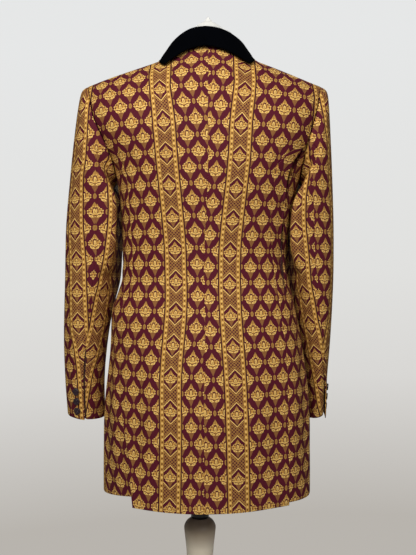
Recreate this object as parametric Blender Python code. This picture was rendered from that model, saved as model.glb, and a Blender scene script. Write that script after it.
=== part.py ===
"""Long fitted blazer in brocade with a velvet collar, on a limbless dress form with a stand.

Units are metres and +Z is up. The origin is the centre of the stand base's underside.
The wearer faces +Y, so the back of the garment faces -Y and the wearer's right is +X.
"""
import math
from bisect import bisect_right

import bmesh
import bpy
from mathutils import Vector

# Cloth
WALL = 0.0020
SEAM_GAP = 0.0003
SET_IN_GAP = 0.0008
LAY_GAP = 0.0006
VELVET_WALL = 0.0025

# The garment hangs a little to one side of the pole
GARMENT_X = 0.015

# Heights of the body
HEM_Z = 0.620
CHEST_Z = 1.190

# Level sections of the body, a superellipse each, deeper in front than behind
BODY_SECTIONS = (
    # z, half_width, back, front, power, shift
    (0.620, 0.191, 0.140, 0.148, 1.90, 0.000),
    (0.700, 0.191, 0.142, 0.148, 2.00, 0.000),
    (0.785, 0.189, 0.143, 0.146, 2.10, 0.000),
    (0.900, 0.170, 0.131, 0.134, 2.20, -0.003),
    (1.027, 0.152, 0.108, 0.126, 2.20, -0.007),
    (1.110, 0.156, 0.112, 0.140, 2.25, -0.004),
    (1.190, 0.168, 0.122, 0.148, 2.40, 0.000),
    (1.260, 0.190, 0.124, 0.142, 2.80, 0.000),
    (1.320, 0.206, 0.118, 0.125, 3.00, 0.000),
    (1.390, 0.211, 0.106, 0.100, 3.00, 0.000),
)

# Neckline and shoulder of one half
NAPE_Y = -0.075
NAPE_Z = 1.425
FRONT_NECK_Y = 0.045
FRONT_NECK_Z = 1.385
NECK_POINT = Vector((0.075, -0.012, 1.411))
SHOULDER_POINT = Vector((0.211, -0.010, 1.364))
TURN_NECK = 0.13
TURN_SHOULDER = 0.35
CLOSE_START = 0.40
CLOSE_HEIGHT = 0.35
NECK_EASE = 2.2
ARMHOLE_POWER = 2.2

# Soft upright folds of the skirt
FOLD_TOP_LEVEL = 0.62
FOLDS = (
    # count, depth, phase
    (5, 0.0025, 0.15),
    (8, 0.0015, 0.60),
)

# Side-back seams, as distances from the centre of the section
BACK_SEAM = (
    # z, left, right
    (0.620, 0.126, 0.139),
    (0.700, 0.137, 0.139),
    (0.785, 0.152, 0.137),
    (0.880, 0.152, 0.131),
    (0.960, 0.142, 0.122),
    (1.040, 0.134, 0.115),
    (1.110, 0.138, 0.110),
    (1.190, 0.143, 0.115),
)
BACK_SEAM_RISE = 0.40
BACK_SEAM_EASE = 2.5
FRONT_SEAM_TURN = 0.60

# Vents at the foot of the side-back seams
VENT_LEVEL = 0.30
VENT_CURVE = 3.0
VENT_FLARE = {1: 0.003, -1: 0.009}
VENT_RAISE = {1: 0.004, -1: 0.016}

# Fronts and lapels
FRONT_LAP = 0.020
BREAK_LEVEL = 0.79
CROSS_LEVEL = 1.13
LAP_RAMP_TURN = 0.10
LAP_FADE_LEVEL = 0.35
LAPEL_FOOT_LEVEL = {1: 0.81, -1: 1.13}
LAPEL_TIP_LEVEL = 1.50
LAPEL_NECK_LEVEL = 1.60
LAPEL_WIDTH = (
    # rise, width
    (0.00, 0.006),
    (0.35, 0.040),
    (0.75, 0.072),
    (1.00, 0.084),
)

# Sleeves: each row is a section across the sleeve, from the armhole to the cuff
SLEEVES = {
    -1: (
        # along, outer_x, outer_z, inner_x, inner_z, half_depth, centre_y
        (0.00, 0.2110, 1.364, 0.1690, 1.190, 0.066, 0.000),
        (0.05, 0.2215, 1.355, 0.1770, 1.181, 0.068, 0.000),
        (0.10, 0.2255, 1.330, 0.1755, 1.172, 0.070, 0.000),
        (0.20, 0.2310, 1.273, 0.1710, 1.150, 0.071, 0.000),
        (0.32, 0.2385, 1.200, 0.1685, 1.118, 0.071, 0.002),
        (0.45, 0.2480, 1.110, 0.1670, 1.065, 0.069, 0.004),
        (0.60, 0.2580, 1.010, 0.1745, 0.995, 0.065, 0.008),
        (0.75, 0.2660, 0.905, 0.1850, 0.900, 0.058, 0.014),
        (0.88, 0.2675, 0.825, 0.1935, 0.823, 0.052, 0.020),
        (1.00, 0.2650, 0.756, 0.1960, 0.750, 0.047, 0.026),
    ),
    1: (
        (0.00, 0.2110, 1.364, 0.1690, 1.190, 0.066, 0.000),
        (0.05, 0.2200, 1.355, 0.1765, 1.181, 0.068, 0.000),
        (0.10, 0.2230, 1.330, 0.1740, 1.170, 0.070, 0.000),
        (0.20, 0.2265, 1.273, 0.1680, 1.145, 0.072, 0.002),
        (0.32, 0.2305, 1.200, 0.1615, 1.112, 0.073, 0.006),
        (0.45, 0.2345, 1.110, 0.1560, 1.062, 0.071, 0.012),
        (0.60, 0.2360, 1.010, 0.1585, 0.992, 0.067, 0.022),
        (0.75, 0.2330, 0.905, 0.1760, 0.897, 0.062, 0.036),
        (0.88, 0.2290, 0.825, 0.1875, 0.818, 0.058, 0.052),
        (1.00, 0.2260, 0.752, 0.1870, 0.745, 0.054, 0.066),
    ),
}
CAP_BLEND = 0.10
# How far the inner side of each sleeve bends round the body, behind and in front
SLEEVE_BEND = {
    -1: (
        # z, behind, before
        (0.880, 0.000, 0.000),
        (0.950, 0.000, 0.010),
        (1.005, 0.012, 0.030),
        (1.065, 0.050, 0.028),
        (1.110, 0.056, 0.024),
        (1.150, 0.054, 0.018),
        (1.180, 0.034, 0.010),
        (1.210, 0.012, 0.003),
        (1.240, 0.000, 0.000),
        (1.300, 0.000, 0.000),
    ),
    1: (
        (0.880, 0.000, 0.000),
        (0.950, 0.000, 0.012),
        (1.005, 0.012, 0.026),
        (1.060, 0.054, 0.026),
        (1.110, 0.062, 0.020),
        (1.150, 0.056, 0.016),
        (1.180, 0.034, 0.009),
        (1.210, 0.012, 0.003),
        (1.240, 0.000, 0.000),
        (1.300, 0.000, 0.000),
    ),
}
BEND_START = 0.16
BEHIND_POWER = 3.0
BEFORE_POWER = 1.5
SLEEVE_BACK_SEAM = {
    -1: (
        # along, around
        (0.00, 0.262),
        (0.06, 0.272),
        (0.12, 0.270),
        (0.22, 0.245),
        (0.30, 0.222),
        (0.37, 0.205),
        (0.44, 0.207),
        (0.53, 0.232),
        (0.62, 0.280),
        (0.70, 0.296),
        (0.78, 0.283),
        (1.00, 0.275),
    ),
    1: (
        (0.00, 0.272),
        (0.06, 0.286),
        (0.14, 0.276),
        (0.23, 0.252),
        (0.30, 0.226),
        (0.37, 0.202),
        (0.50, 0.199),
        (0.56, 0.213),
        (0.62, 0.235),
        (0.69, 0.238),
        (0.75, 0.225),
        (0.85, 0.202),
        (0.93, 0.163),
        (1.00, 0.133),
    ),
}
SLEEVE_FRONT_SEAM = 0.65

# Buttons
CUFF_BUTTON_RADIUS = 0.0065
FRONT_BUTTON_RADIUS = 0.0100
BUTTON_HEIGHT = 0.0038
BUTTON_BEVEL = 0.0010
BUTTON_SIDES = 12
BUTTON_RIM_SHARE = 0.70
BUTTON_DISH_SHARE = 0.55
CUFF_BUTTON_AROUND = {1: 0.085, -1: 0.212}
CUFF_BUTTON_ALONGS = (0.912, 0.943, 0.974)
FRONT_BUTTON_ROWS = (9, 7, 5)

# Collar: each row is a section of one half, from the centre back to the shoulder seam
COLLAR_BACK = (
    # along, foot_turn, foot_level, stand, fall_turn, fall_level, fall_lift
    (0.00, 0.000, 2.00, 0.0300, 0.000, 1.958, 0.0100),
    (0.12, 0.034, 2.00, 0.0290, 0.026, 1.936, 0.0095),
    (0.25, 0.068, 2.00, 0.0235, 0.054, 1.895, 0.0080),
    (0.36, 0.096, 2.00, 0.0170, 0.083, 1.858, 0.0075),
    (0.43, 0.113, 2.00, 0.0150, 0.103, 1.805, 0.0080),
    (0.50, 0.130, 2.00, 0.0150, 0.160, 2.000, 0.0060),
)
# and on from the shoulder seam to its front end, along the roll line
COLLAR_FRONT = (
    (0.50, 0.870, 2.00, 0.0150, 0.840, 2.000, 0.0060),
    (0.75, 0.890, 1.86, 0.0060, 0.800, 1.880, 0.0044),
    (1.00, 0.915, 1.68, 0.0040, 0.795, 1.720, 0.0040),
)
COLLAR_ROLL = 0.42
COLLAR_SPREAD = 0.003
COLLAR_LEAN = 0.28
COLLAR_EDGE_GAP = 0.0012
# The collar sits a little up and to the left of the neckline, back on its own line in front
COLLAR_SHIFT = Vector((-0.0040, 0.0, 0.0010))
COLLAR_SHIFT_FADE = (0.43, 0.66)

# Dress form: level sections, widest at the shoulder line that carries the garment
FORM_BOTTOM_Z = 0.675
FORM_SECTIONS = (
    # z, half_width, half_depth, centre_y
    (0.675, 0.120, 0.085, 0.000),
    (0.690, 0.160, 0.115, 0.000),
    (0.785, 0.172, 0.126, 0.000),
    (0.900, 0.152, 0.115, 0.000),
    (1.027, 0.130, 0.095, 0.008),
    (1.130, 0.142, 0.106, 0.014),
    (1.230, 0.152, 0.108, 0.010),
    (1.310, 0.168, 0.090, 0.000),
    (1.345, 0.178, 0.064, -0.008),
)
FORM_SHOULDER_WIDTHS = (0.180, 0.165, 0.140, 0.115, 0.090, 0.070)
FORM_SHOULDER_DEPTHS = (0.040, 0.044, 0.048, 0.050, 0.050, 0.050)
FORM_SHOULDER_DROP = 0.0027
NECK_RADIUS = 0.050
NECK_CENTRE_Y = -0.010
NECK_TOP_Z = 1.4565
NECK_SECTIONS = (
    # rise, radius_share
    (0.25, 1.06),
    (0.60, 1.00),
    (1.00, 1.00),
)
FORM_SIDES = 32

# Turned pieces of the stand, from the top of each one down
CAP_PROFILE = (
    # radius, z
    (0.0000, 1.4960),
    (0.0015, 1.4945),
    (0.0050, 1.4895),
    (0.0083, 1.4858),
    (0.0133, 1.4821),
    (0.0204, 1.4784),
    (0.0350, 1.4705),
    (0.0480, 1.4615),
    (0.0500, 1.4595),
    (0.0490, 1.4568),
    (0.0000, 1.4568),
)
ROD_RADIUS = 0.0125
POLE_COLLAR_TOP_Z = 0.590
POLE_TOP_Z = 0.5665
POLE_COLLAR_RADIUS = 0.0165
POLE_PROFILE = (
    (0.0000, 0.5665),
    (0.0150, 0.5665),
    (0.0240, 0.5600),
    (0.0285, 0.5530),
    (0.0294, 0.5470),
    (0.0285, 0.5380),
    (0.0243, 0.4950),
    (0.0200, 0.3900),
    (0.0185, 0.2500),
    (0.0200, 0.1200),
    (0.0270, 0.0600),
    (0.0300, 0.0303),
    (0.0000, 0.0303),
)
BASE_PROFILE = (
    (0.0000, 0.0300),
    (0.0600, 0.0290),
    (0.1200, 0.0250),
    (0.1550, 0.0180),
    (0.1620, 0.0100),
    (0.1620, 0.0030),
    (0.1590, 0.0000),
    (0.0000, 0.0000),
)
TURNED_SIDES = 28

# Rows of the panels
SEAM_ROWS = 16
CLOSING_ROWS = 7
BACK_COLUMNS = 10
SIDE_COLUMNS = 8
FRONT_COLUMNS = 8
LAPEL_ROWS = 10
LAPEL_COLUMNS = 5
TOP_SLEEVE_COLUMNS = 11
UNDER_SLEEVE_COLUMNS = 10
SLEEVE_ALONGS = (0.0, 0.025, 0.05, 0.075, 0.10, 0.14, 0.19, 0.25, 0.32, 0.39,
                 0.46, 0.53, 0.60, 0.67, 0.74, 0.81, 0.88, 0.94, 1.0)
COLLAR_ALONGS = (0.0, 0.06, 0.12, 0.18, 0.24, 0.30, 0.36, 0.40, 0.43, 0.448, 0.466, 0.484,
                 0.50, 0.54, 0.60, 0.68, 0.76, 0.84, 0.92, 1.0)
COLLAR_ACROSSES = (0.0, 0.2, 0.36, COLLAR_ROLL, 0.5, 0.65, 0.82, 1.0)
EDGE_PASSES = 30
SHOULDER_GAP_LEVEL = 0.0014
SIDES = {1: "right", -1: "left"}
DIFFERENCE_STEP = 0.002
SHARP_ANGLE = 40.0

COLOURS = {
    # name: red, green, blue, roughness, metallic
    "brocade": (0.30, 0.12, 0.06, 0.75, 0.0),
    "velvet": (0.006, 0.006, 0.009, 0.95, 0.0),
    "button": (0.045, 0.018, 0.026, 0.35, 0.0),
    "form_cover": (0.80, 0.80, 0.78, 0.80, 0.0),
    "white_paint": (0.82, 0.82, 0.80, 0.40, 0.0),
    "black_metal": (0.012, 0.012, 0.013, 0.30, 0.6),
}


def lerp(start, end, share):
    return start + (end - start) * share


def clamp(value):
    return max(0.0, min(1.0, value))


def smoothstep(value):
    value = clamp(value)
    return value * value * (3.0 - 2.0 * value)


def signed_power(value, power):
    return math.copysign(abs(value) ** power, value)


def smooth_row(rows, key):
    """Columns after the first, read at key from a smooth curve through the table's rows."""
    last = len(rows) - 1
    index = bisect_right([row[0] for row in rows], key) - 1
    index = max(0, min(last - 1, index))
    before = rows[max(index - 1, 0)]
    here = rows[index]
    there = rows[index + 1]
    after = rows[min(index + 2, last)]
    span = there[0] - here[0]
    share = clamp((key - here[0]) / span)
    square = share * share
    cube = square * share
    values = []
    for column in range(1, len(here)):
        leave = (there[column] - before[column]) / (there[0] - before[0]) * span
        arrive = (after[column] - here[column]) / (after[0] - here[0]) * span
        value = (2 * cube - 3 * square + 1) * here[column] + (cube - 2 * square + share) * leave
        value += (3 * square - 2 * cube) * there[column] + (cube - square) * arrive
        values.append(value)
    return values


def ring_point(side, turn, z):
    """Point on the level section at height z; turn is 0 at the centre back and 1 in front."""
    half_width, back, front, power, shift = smooth_row(BODY_SECTIONS, z)
    sine = math.sin(math.pi * turn)
    cosine = math.cos(math.pi * turn)
    depth = back if cosine > 0 else front
    level = (z - HEM_Z) / (CHEST_Z - HEM_Z)
    fold = sum(fold_depth * math.cos(2.0 * math.pi * (count * side * turn * 0.5 + phase))
               for count, fold_depth, phase in FOLDS)
    swell = 1.0 + fold / half_width * smoothstep(1.0 - level / FOLD_TOP_LEVEL)
    x = half_width * signed_power(sine, 2.0 / power) * swell
    y = -depth * signed_power(cosine, 2.0 / power) * swell
    return Vector((side * x + shift, y, z))


def top_point(side, turn):
    """Point of the neckline or the shoulder seam where the upright line of this turn ends."""
    from_centre = turn if turn <= 0.5 else 1.0 - turn
    if from_centre >= TURN_NECK:
        share = clamp((from_centre - TURN_NECK) / (TURN_SHOULDER - TURN_NECK))
        point = NECK_POINT.lerp(SHOULDER_POINT, share)
        return Vector((side * point.x, point.y, point.z))
    centre_y = NAPE_Y if turn <= 0.5 else FRONT_NECK_Y
    centre_z = NAPE_Z if turn <= 0.5 else FRONT_NECK_Z
    angle = 0.5 * math.pi * from_centre / TURN_NECK
    y = lerp(NECK_POINT.y, centre_y, math.cos(angle))
    z = lerp(NECK_POINT.z, centre_z, math.cos(angle))
    return Vector((side * NECK_POINT.x * math.sin(angle), y, z))


def body_point(side, turn, level):
    """Outer face of the body; level is 0 at the hem, 1 at the underarm, 2 at neck and shoulder."""
    if level <= 1.0:
        return ring_point(side, turn, lerp(HEM_Z, CHEST_Z, level))
    rise = level - 1.0
    top = top_point(side, turn)
    middle_z = lerp(CHEST_Z, top.z, CLOSE_HEIGHT)
    if rise <= CLOSE_START:
        return ring_point(side, turn, lerp(CHEST_Z, middle_z, rise / CLOSE_START))
    close = (rise - CLOSE_START) / (1.0 - CLOSE_START)
    from_centre = min(turn, abs(1.0 - turn))
    neck_share = 1.0 - smoothstep(2.0 * abs(from_centre) / TURN_NECK - 1.0)
    angle = 0.5 * math.pi * close
    up = lerp(math.sin(angle), close, neck_share)
    over = lerp(1.0 - math.cos(angle), abs(close) ** NECK_EASE, neck_share)
    z = lerp(middle_z, top.z, up)
    ring = ring_point(side, turn, z)
    return Vector((lerp(ring.x, top.x, over), lerp(ring.y, top.y, over), z))


def surface_normal(surface, across, along):
    """Unit normal of a surface, from differences around one of its points."""
    step = DIFFERENCE_STEP
    run = surface(across + step, along) - surface(across - step, along)
    rise = surface(across, along + step) - surface(across, along - step)
    return run.cross(rise).normalized()


def body_normal(side, turn, level):
    def half(across, along):
        return body_point(side, across, along)
    return surface_normal(half, turn, level) * side


def shifted_turn(side, turn, level, distance):
    """Turn that lies the given distance further from the centre back on the same level."""
    step = DIFFERENCE_STEP
    speed = (body_point(side, turn + step, level) - body_point(side, turn - step, level)).length
    return turn + distance * 2.0 * step / max(speed, step * step)


def armhole_turn(rise):
    """How far the armhole's edge lies from the side line, at a rise above the underarm."""
    reach = (1.0 - (1.0 - clamp(rise)) ** ARMHOLE_POWER) ** (1.0 / ARMHOLE_POWER)
    return (0.5 - TURN_SHOULDER) * reach


def armhole_rise(turn):
    """Rise above the underarm at which the armhole's edge crosses a turn."""
    reach = clamp(abs(0.5 - turn) / (0.5 - TURN_SHOULDER))
    return 1.0 - (1.0 - reach ** ARMHOLE_POWER) ** (1.0 / ARMHOLE_POWER)


def back_seam_turn(side, level):
    """Turn of the side-back seam, which curves out to the armhole above the underarm."""
    z = lerp(HEM_Z, CHEST_Z, min(level, 1.0))
    left, right = smooth_row(BACK_SEAM, z)
    half_width, _, _, power, shift = smooth_row(BODY_SECTIONS, z)
    distance = (right if side > 0 else left) - side * shift
    turn = math.asin(min(1.0, distance / half_width) ** (0.5 * power)) / math.pi
    if level <= 1.0:
        return turn
    end = 0.5 - armhole_turn(BACK_SEAM_RISE)
    return lerp(turn, end, clamp((level - 1.0) / BACK_SEAM_RISE) ** BACK_SEAM_EASE)


def back_edge_turn(side, level):
    if level <= 1.0 + BACK_SEAM_RISE:
        return back_seam_turn(side, level)
    return 0.5 - armhole_turn(level - 1.0)


def front_side_turn(level):
    """Outer edge of a front: the side-front seam, then the armhole."""
    if level <= 1.0 + armhole_rise(FRONT_SEAM_TURN):
        return FRONT_SEAM_TURN
    return 0.5 + armhole_turn(level - 1.0)


def front_edge_turn(side, level):
    """Closing edge of a front up to the break, then the roll line up to the neck point."""
    lap = shifted_turn(side, 1.0, BREAK_LEVEL, FRONT_LAP)
    return lerp(lap, 1.0 - TURN_NECK, clamp((level - BREAK_LEVEL) / (2.0 - BREAK_LEVEL)))


def lap_lift(side, turn, level):
    """The right front rises over the left one where they lap."""
    if side < 0:
        return 0.0
    ramp = smoothstep((turn - (1.0 - 2.0 * LAP_RAMP_TURN)) / LAP_RAMP_TURN)
    fade = 1.0 - smoothstep((level - CROSS_LEVEL) / LAP_FADE_LEVEL)
    return ramp * fade * (WALL + LAY_GAP)


def spaced(start, end, count):
    return [lerp(start, end, index / count) for index in range(count + 1)]


def new_object(name, mesh_data, colour, parent):
    """Object from a finished bmesh, with its own material."""
    bmesh.ops.recalc_face_normals(mesh_data, faces=mesh_data.faces[:])
    mesh = bpy.data.meshes.new(name)
    mesh_data.to_mesh(mesh)
    mesh_data.free()
    mesh.shade_smooth()
    mesh.set_sharp_from_angle(angle=math.radians(SHARP_ANGLE))
    item = bpy.data.objects.new(name, mesh)
    bpy.context.scene.collection.objects.link(item)
    item.parent = parent
    red, green, blue, roughness, metallic = COLOURS[colour]
    material = bpy.data.materials.new(name + "_" + colour)
    material.use_nodes = True
    shader = material.node_tree.nodes["Principled BSDF"]
    shader.inputs["Base Color"].default_value = (red, green, blue, 1.0)
    shader.inputs["Roughness"].default_value = roughness
    shader.inputs["Metallic"].default_value = metallic
    mesh.materials.append(material)
    return item


def wall(name, rows, colour, parent):
    """Closed wall from rows of point pairs, each an outer point and the inner one behind it."""
    mesh_data = bmesh.new()
    faces = [[], []]
    for row in rows:
        for layer in (0, 1):
            faces[layer].append([mesh_data.verts.new(pair[layer]) for pair in row])
    outer, inner = faces
    row_count = len(rows)
    column_count = len(rows[0])
    for row in range(row_count - 1):
        for column in range(column_count - 1):
            mesh_data.faces.new((outer[row][column], outer[row][column + 1],
                                 outer[row + 1][column + 1], outer[row + 1][column]))
            mesh_data.faces.new((inner[row][column], inner[row + 1][column],
                                 inner[row + 1][column + 1], inner[row][column + 1]))
    border = [(0, column) for column in range(column_count)]
    border += [(row, column_count - 1) for row in range(1, row_count)]
    border += [(row_count - 1, column) for column in range(column_count - 2, -1, -1)]
    border += [(row, 0) for row in range(row_count - 2, 0, -1)]
    for first, second in zip(border, border[1:] + border[:1]):
        (row_a, column_a), (row_b, column_b) = sorted((first, second))
        low, low_inner = outer[row_a][column_a], inner[row_a][column_a]
        high, high_inner = outer[row_b][column_b], inner[row_b][column_b]
        mesh_data.faces.new((low, low_inner, high_inner))
        mesh_data.faces.new((low, high_inner, high))
    return new_object(name, mesh_data, colour, parent)


def body_pair(side, turn, level, lift=0.0, thickness=WALL):
    """Outer and inner point of cloth on the body, lifted off its face by the given distance."""
    point = body_point(side, turn, level)
    normal = body_normal(side, turn, level)
    return point + normal * lift, point + normal * (lift - thickness)


def seam_levels(top):
    """Levels of the rows that neighbouring panels share along a seam that ends at top."""
    return spaced(0.0, top, SEAM_ROWS)


def closing_levels(start):
    """Levels from the end of a seam up to the shoulder, closer together near the top."""
    end = 2.0 - SHOULDER_GAP_LEVEL
    shares = spaced(0.0, 1.0, CLOSING_ROWS)[1:]
    return [lerp(start, end, math.sin(0.5 * math.pi * share)) for share in shares]


def back_panel(side, parent):
    levels = seam_levels(1.0 + BACK_SEAM_RISE) + closing_levels(1.0 + BACK_SEAM_RISE)
    rows = []
    for level in levels:
        centre = shifted_turn(side, 0.0, level, 0.5 * SEAM_GAP)
        edge = shifted_turn(side, back_edge_turn(side, level), level, -0.5 * SEAM_GAP)
        flare = VENT_FLARE[side] * smoothstep(1.0 - level / VENT_LEVEL)
        rows.append([body_pair(side, lerp(centre, edge, share), level, flare * share ** VENT_CURVE)
                     for share in spaced(0.0, 1.0, BACK_COLUMNS)])
    return wall("back_" + SIDES[side], rows, "brocade", parent)


def side_panel(side, parent):
    shares = spaced(0.0, 1.0, SIDE_COLUMNS)

    def turn_at(share, level):
        return lerp(back_seam_turn(side, level), FRONT_SEAM_TURN, share)

    tops = []
    for share in shares:
        top = 1.0 + BACK_SEAM_RISE
        for _ in range(EDGE_PASSES):
            top = lerp(top, 1.0 + armhole_rise(turn_at(share, top)), 0.5)
        tops.append(top)
    tops[0] = 1.0 + BACK_SEAM_RISE
    rows = []
    for index in range(SEAM_ROWS + 1):
        row = []
        for share, top in zip(shares, tops):
            level = seam_levels(top)[index]
            if index == 0:
                level = VENT_RAISE[side] / (CHEST_Z - HEM_Z) * (1.0 - share) ** 2
            turn = turn_at(share, level)
            turn = shifted_turn(side, turn, level, SEAM_GAP * (0.5 - share))
            row.append(body_pair(side, turn, level))
        rows.append(row)
    return wall("side_" + SIDES[side], rows, "brocade", parent)


def front_panel(side, parent):
    corner = 1.0 + armhole_rise(FRONT_SEAM_TURN)
    rows = []
    for level in seam_levels(corner) + closing_levels(corner):
        outer = shifted_turn(side, front_side_turn(level), level, 0.5 * SEAM_GAP)
        edge = front_edge_turn(side, level)
        row = []
        for share in spaced(0.0, 1.0, FRONT_COLUMNS):
            turn = lerp(outer, edge, share)
            row.append(body_pair(side, turn, level, lap_lift(side, turn, level)))
        rows.append(row)
    return wall("front_" + SIDES[side], rows, "brocade", parent)


def lapel(side, parent):
    """Turned-back cloth between the roll line and the lapel's edge, made from the front's points."""
    rows = []
    for rise in spaced(0.0, 1.0, LAPEL_ROWS):
        width = smooth_row(LAPEL_WIDTH, rise)[0]
        row = []
        for share in spaced(0.0, 1.0, LAPEL_COLUMNS):
            top = lerp(LAPEL_NECK_LEVEL, LAPEL_TIP_LEVEL, share)
            level = lerp(LAPEL_FOOT_LEVEL[side], top, rise)
            roll = front_edge_turn(side, level)
            turn = shifted_turn(side, roll, level, -width * share)
            lift = lap_lift(side, turn, level) + LAY_GAP + WALL
            row.append(body_pair(side, turn, level, lift))
        rows.append(row)
    return wall("lapel_" + SIDES[side], rows, "brocade", parent)


def armhole_point(side, around):
    """Armhole loop: around is 0 at the shoulder point, a quarter at the back, a half underneath."""
    rise = 0.5 + 0.5 * math.cos(2.0 * math.pi * around)
    towards_front = (around % 1.0) > 0.5
    turn = 0.5 + armhole_turn(rise) * (1.0 if towards_front else -1.0)
    return body_point(side, turn, 1.0 + rise) + Vector((side * SET_IN_GAP, 0.0, 0.0))


def sleeve_point(side, around, along):
    """Outer face of a sleeve, from the armhole loop into the level sections of the arm."""
    columns = smooth_row(SLEEVES[side], along)
    outer_x, outer_z, inner_x, inner_z, half_depth, centre_y = columns
    cosine = math.cos(2.0 * math.pi * around)
    sine = math.sin(2.0 * math.pi * around)
    share = 0.5 - 0.5 * cosine
    z = lerp(outer_z, inner_z, share)
    behind, before = smooth_row(SLEEVE_BEND[side], z)
    bend = behind * max(0.0, sine) ** BEHIND_POWER + before * max(0.0, -sine) ** BEFORE_POWER
    bend *= share * smoothstep(along / BEND_START)
    x = side * (lerp(outer_x, inner_x, share) - bend)
    section = Vector((x, centre_y - half_depth * sine, z))
    if along >= CAP_BLEND:
        return section
    loop = armhole_point(side, around)
    start = smooth_row(SLEEVES[side], 0.0)
    start_x = side * lerp(start[0], start[2], share)
    start_z = lerp(start[1], start[3], share)
    offset = loop - Vector((start_x, start[5] - start[4] * sine, start_z))
    return section + offset * (1.0 - smoothstep(along / CAP_BLEND))


def sleeve_normal(side, around, along):
    def tube(across, down):
        return sleeve_point(side, across, max(0.0, down))
    return surface_normal(tube, around, along) * side


def sleeve_back_seam(side, along):
    return smooth_row(SLEEVE_BACK_SEAM[side], along)[0]


def sleeve_panel(name, side, columns, parent):
    half_gap = 0.5 * SEAM_GAP
    rows = []
    for along in SLEEVE_ALONGS:
        step = DIFFERENCE_STEP
        row = []
        first = sleeve_back_seam(side, along)
        last = SLEEVE_FRONT_SEAM
        if name == "sleeve_top":
            first, last = last - 1.0, first
        for index, around in enumerate(spaced(first, last, columns)):
            speed = (sleeve_point(side, around + step, along)
                     - sleeve_point(side, around - step, along)).length / (2.0 * step)
            if index == 0:
                around += half_gap / speed
            if index == columns:
                around -= half_gap / speed
            point = sleeve_point(side, around, along)
            row.append((point, point - sleeve_normal(side, around, along) * WALL))
        rows.append(row)
    return wall(name + "_" + SIDES[side], rows, "brocade", parent)


def turned(name, profile, colour, parent, centre=(0.0, 0.0), sides=TURNED_SIDES):
    """Solid of revolution from a profile that starts and ends on its axis."""
    mesh_data = bmesh.new()
    rings = []
    for radius, z in profile:
        if radius == 0.0:
            rings.append([mesh_data.verts.new((centre[0], centre[1], z))])
            continue
        angles = [2.0 * math.pi * index / sides for index in range(sides)]
        rings.append([mesh_data.verts.new((centre[0] + radius * math.cos(angle),
                                           centre[1] + radius * math.sin(angle), z))
                      for angle in angles])
    join_rings(mesh_data, rings)
    return new_object(name, mesh_data, colour, parent)


def join_rings(mesh_data, rings):
    """Faces between neighbouring rings; a ring of one vertex closes the end."""
    for upper, lower in zip(rings, rings[1:]):
        count = max(len(upper), len(lower))
        for index in range(count):
            following = (index + 1) % count
            corners = [upper[index % len(upper)], lower[index % len(lower)]]
            corners += [lower[following % len(lower)], upper[following % len(upper)]]
            corners = list(dict.fromkeys(corners))
            mesh_data.faces.new(corners)


def button(name, seat, normal, radius, parent):
    """Round button with a dished face, seated just off the cloth."""
    axis = normal.normalized()
    across = axis.orthogonal().normalized()
    up = axis.cross(across)
    profile = (
        # radius, height
        (0.0, 0.0),
        (radius - BUTTON_BEVEL, 0.0),
        (radius, BUTTON_BEVEL),
        (radius, BUTTON_HEIGHT - BUTTON_BEVEL),
        (radius - BUTTON_BEVEL, BUTTON_HEIGHT),
        (radius * BUTTON_RIM_SHARE, BUTTON_HEIGHT),
        (radius * BUTTON_DISH_SHARE, BUTTON_HEIGHT - 0.5 * BUTTON_BEVEL),
        (0.0, BUTTON_HEIGHT - 0.5 * BUTTON_BEVEL),
    )
    mesh_data = bmesh.new()
    rings = []
    for ring_radius, height in profile:
        middle = seat + axis * (SEAM_GAP + height)
        if ring_radius == 0.0:
            rings.append([mesh_data.verts.new(middle)])
            continue
        ring = []
        for index in range(BUTTON_SIDES):
            angle = 2.0 * math.pi * index / BUTTON_SIDES
            spoke = across * math.cos(angle) + up * math.sin(angle)
            ring.append(mesh_data.verts.new(middle + spoke * ring_radius))
        rings.append(ring)
    join_rings(mesh_data, rings)
    return new_object(name, mesh_data, "button", parent)


def collar_row(side, along):
    """Sizes of one half's collar; along is 0 behind, a half at the shoulder and 1 in front."""
    columns = smooth_row(COLLAR_BACK if along <= 0.5 else COLLAR_FRONT, along)
    if along > 0.5:
        edge = front_edge_turn(side, columns[1])
        gap = COLLAR_EDGE_GAP * smoothstep(2.0 * along - 1.0)
        columns[0] = shifted_turn(side, edge, columns[1], gap)
    return columns


def collar_point(side, along, across):
    """Hidden face of the collar: across is 0 at the foot of the stand and 1 at the fall edge."""
    foot_turn, foot_level, stand_height, fall_turn, fall_level, fall_lift = collar_row(side, along)
    in_front = smoothstep(2.0 * along - 1.0)
    upright = Vector((0.0, 0.0, 1.0))
    start, end = COLLAR_SHIFT_FADE
    aside = COLLAR_SHIFT * (1.0 - smoothstep((along - start) / (end - start)))
    foot = body_point(side, foot_turn, foot_level)
    to_neck = Vector((-foot.x, NECK_CENTRE_Y - foot.y, 0.0)).normalized()
    lean = upright + to_neck * COLLAR_LEAN
    rise = lean.lerp(body_normal(side, foot_turn, foot_level), in_front).normalized()
    foot += rise * SEAM_GAP + aside
    if across <= COLLAR_ROLL:
        return foot + rise * (stand_height * across / COLLAR_ROLL)
    share = (across - COLLAR_ROLL) / (1.0 - COLLAR_ROLL)
    bulge = COLLAR_SPREAD * 4.0 * share * (1.0 - share)
    if along <= 0.5:
        fall = body_point(side, fall_turn, fall_level)
        fall += body_normal(side, fall_turn, fall_level) * (fall_lift - VELVET_WALL) + aside
        outward = Vector((fall.x, fall.y - NECK_CENTRE_Y, 0.0)).normalized()
        bulge *= 1.0 - smoothstep(2.0 * along)
        return (foot + rise * stand_height).lerp(fall, share) + outward * bulge
    turn = lerp(foot_turn, fall_turn, share)
    level = lerp(foot_level, fall_level, share)
    standing = rise * ((stand_height + SEAM_GAP) * (1.0 - share))
    lying = body_normal(side, turn, level) * ((fall_lift - VELVET_WALL) * share)
    return body_point(side, turn, level) + standing + lying + aside


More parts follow.
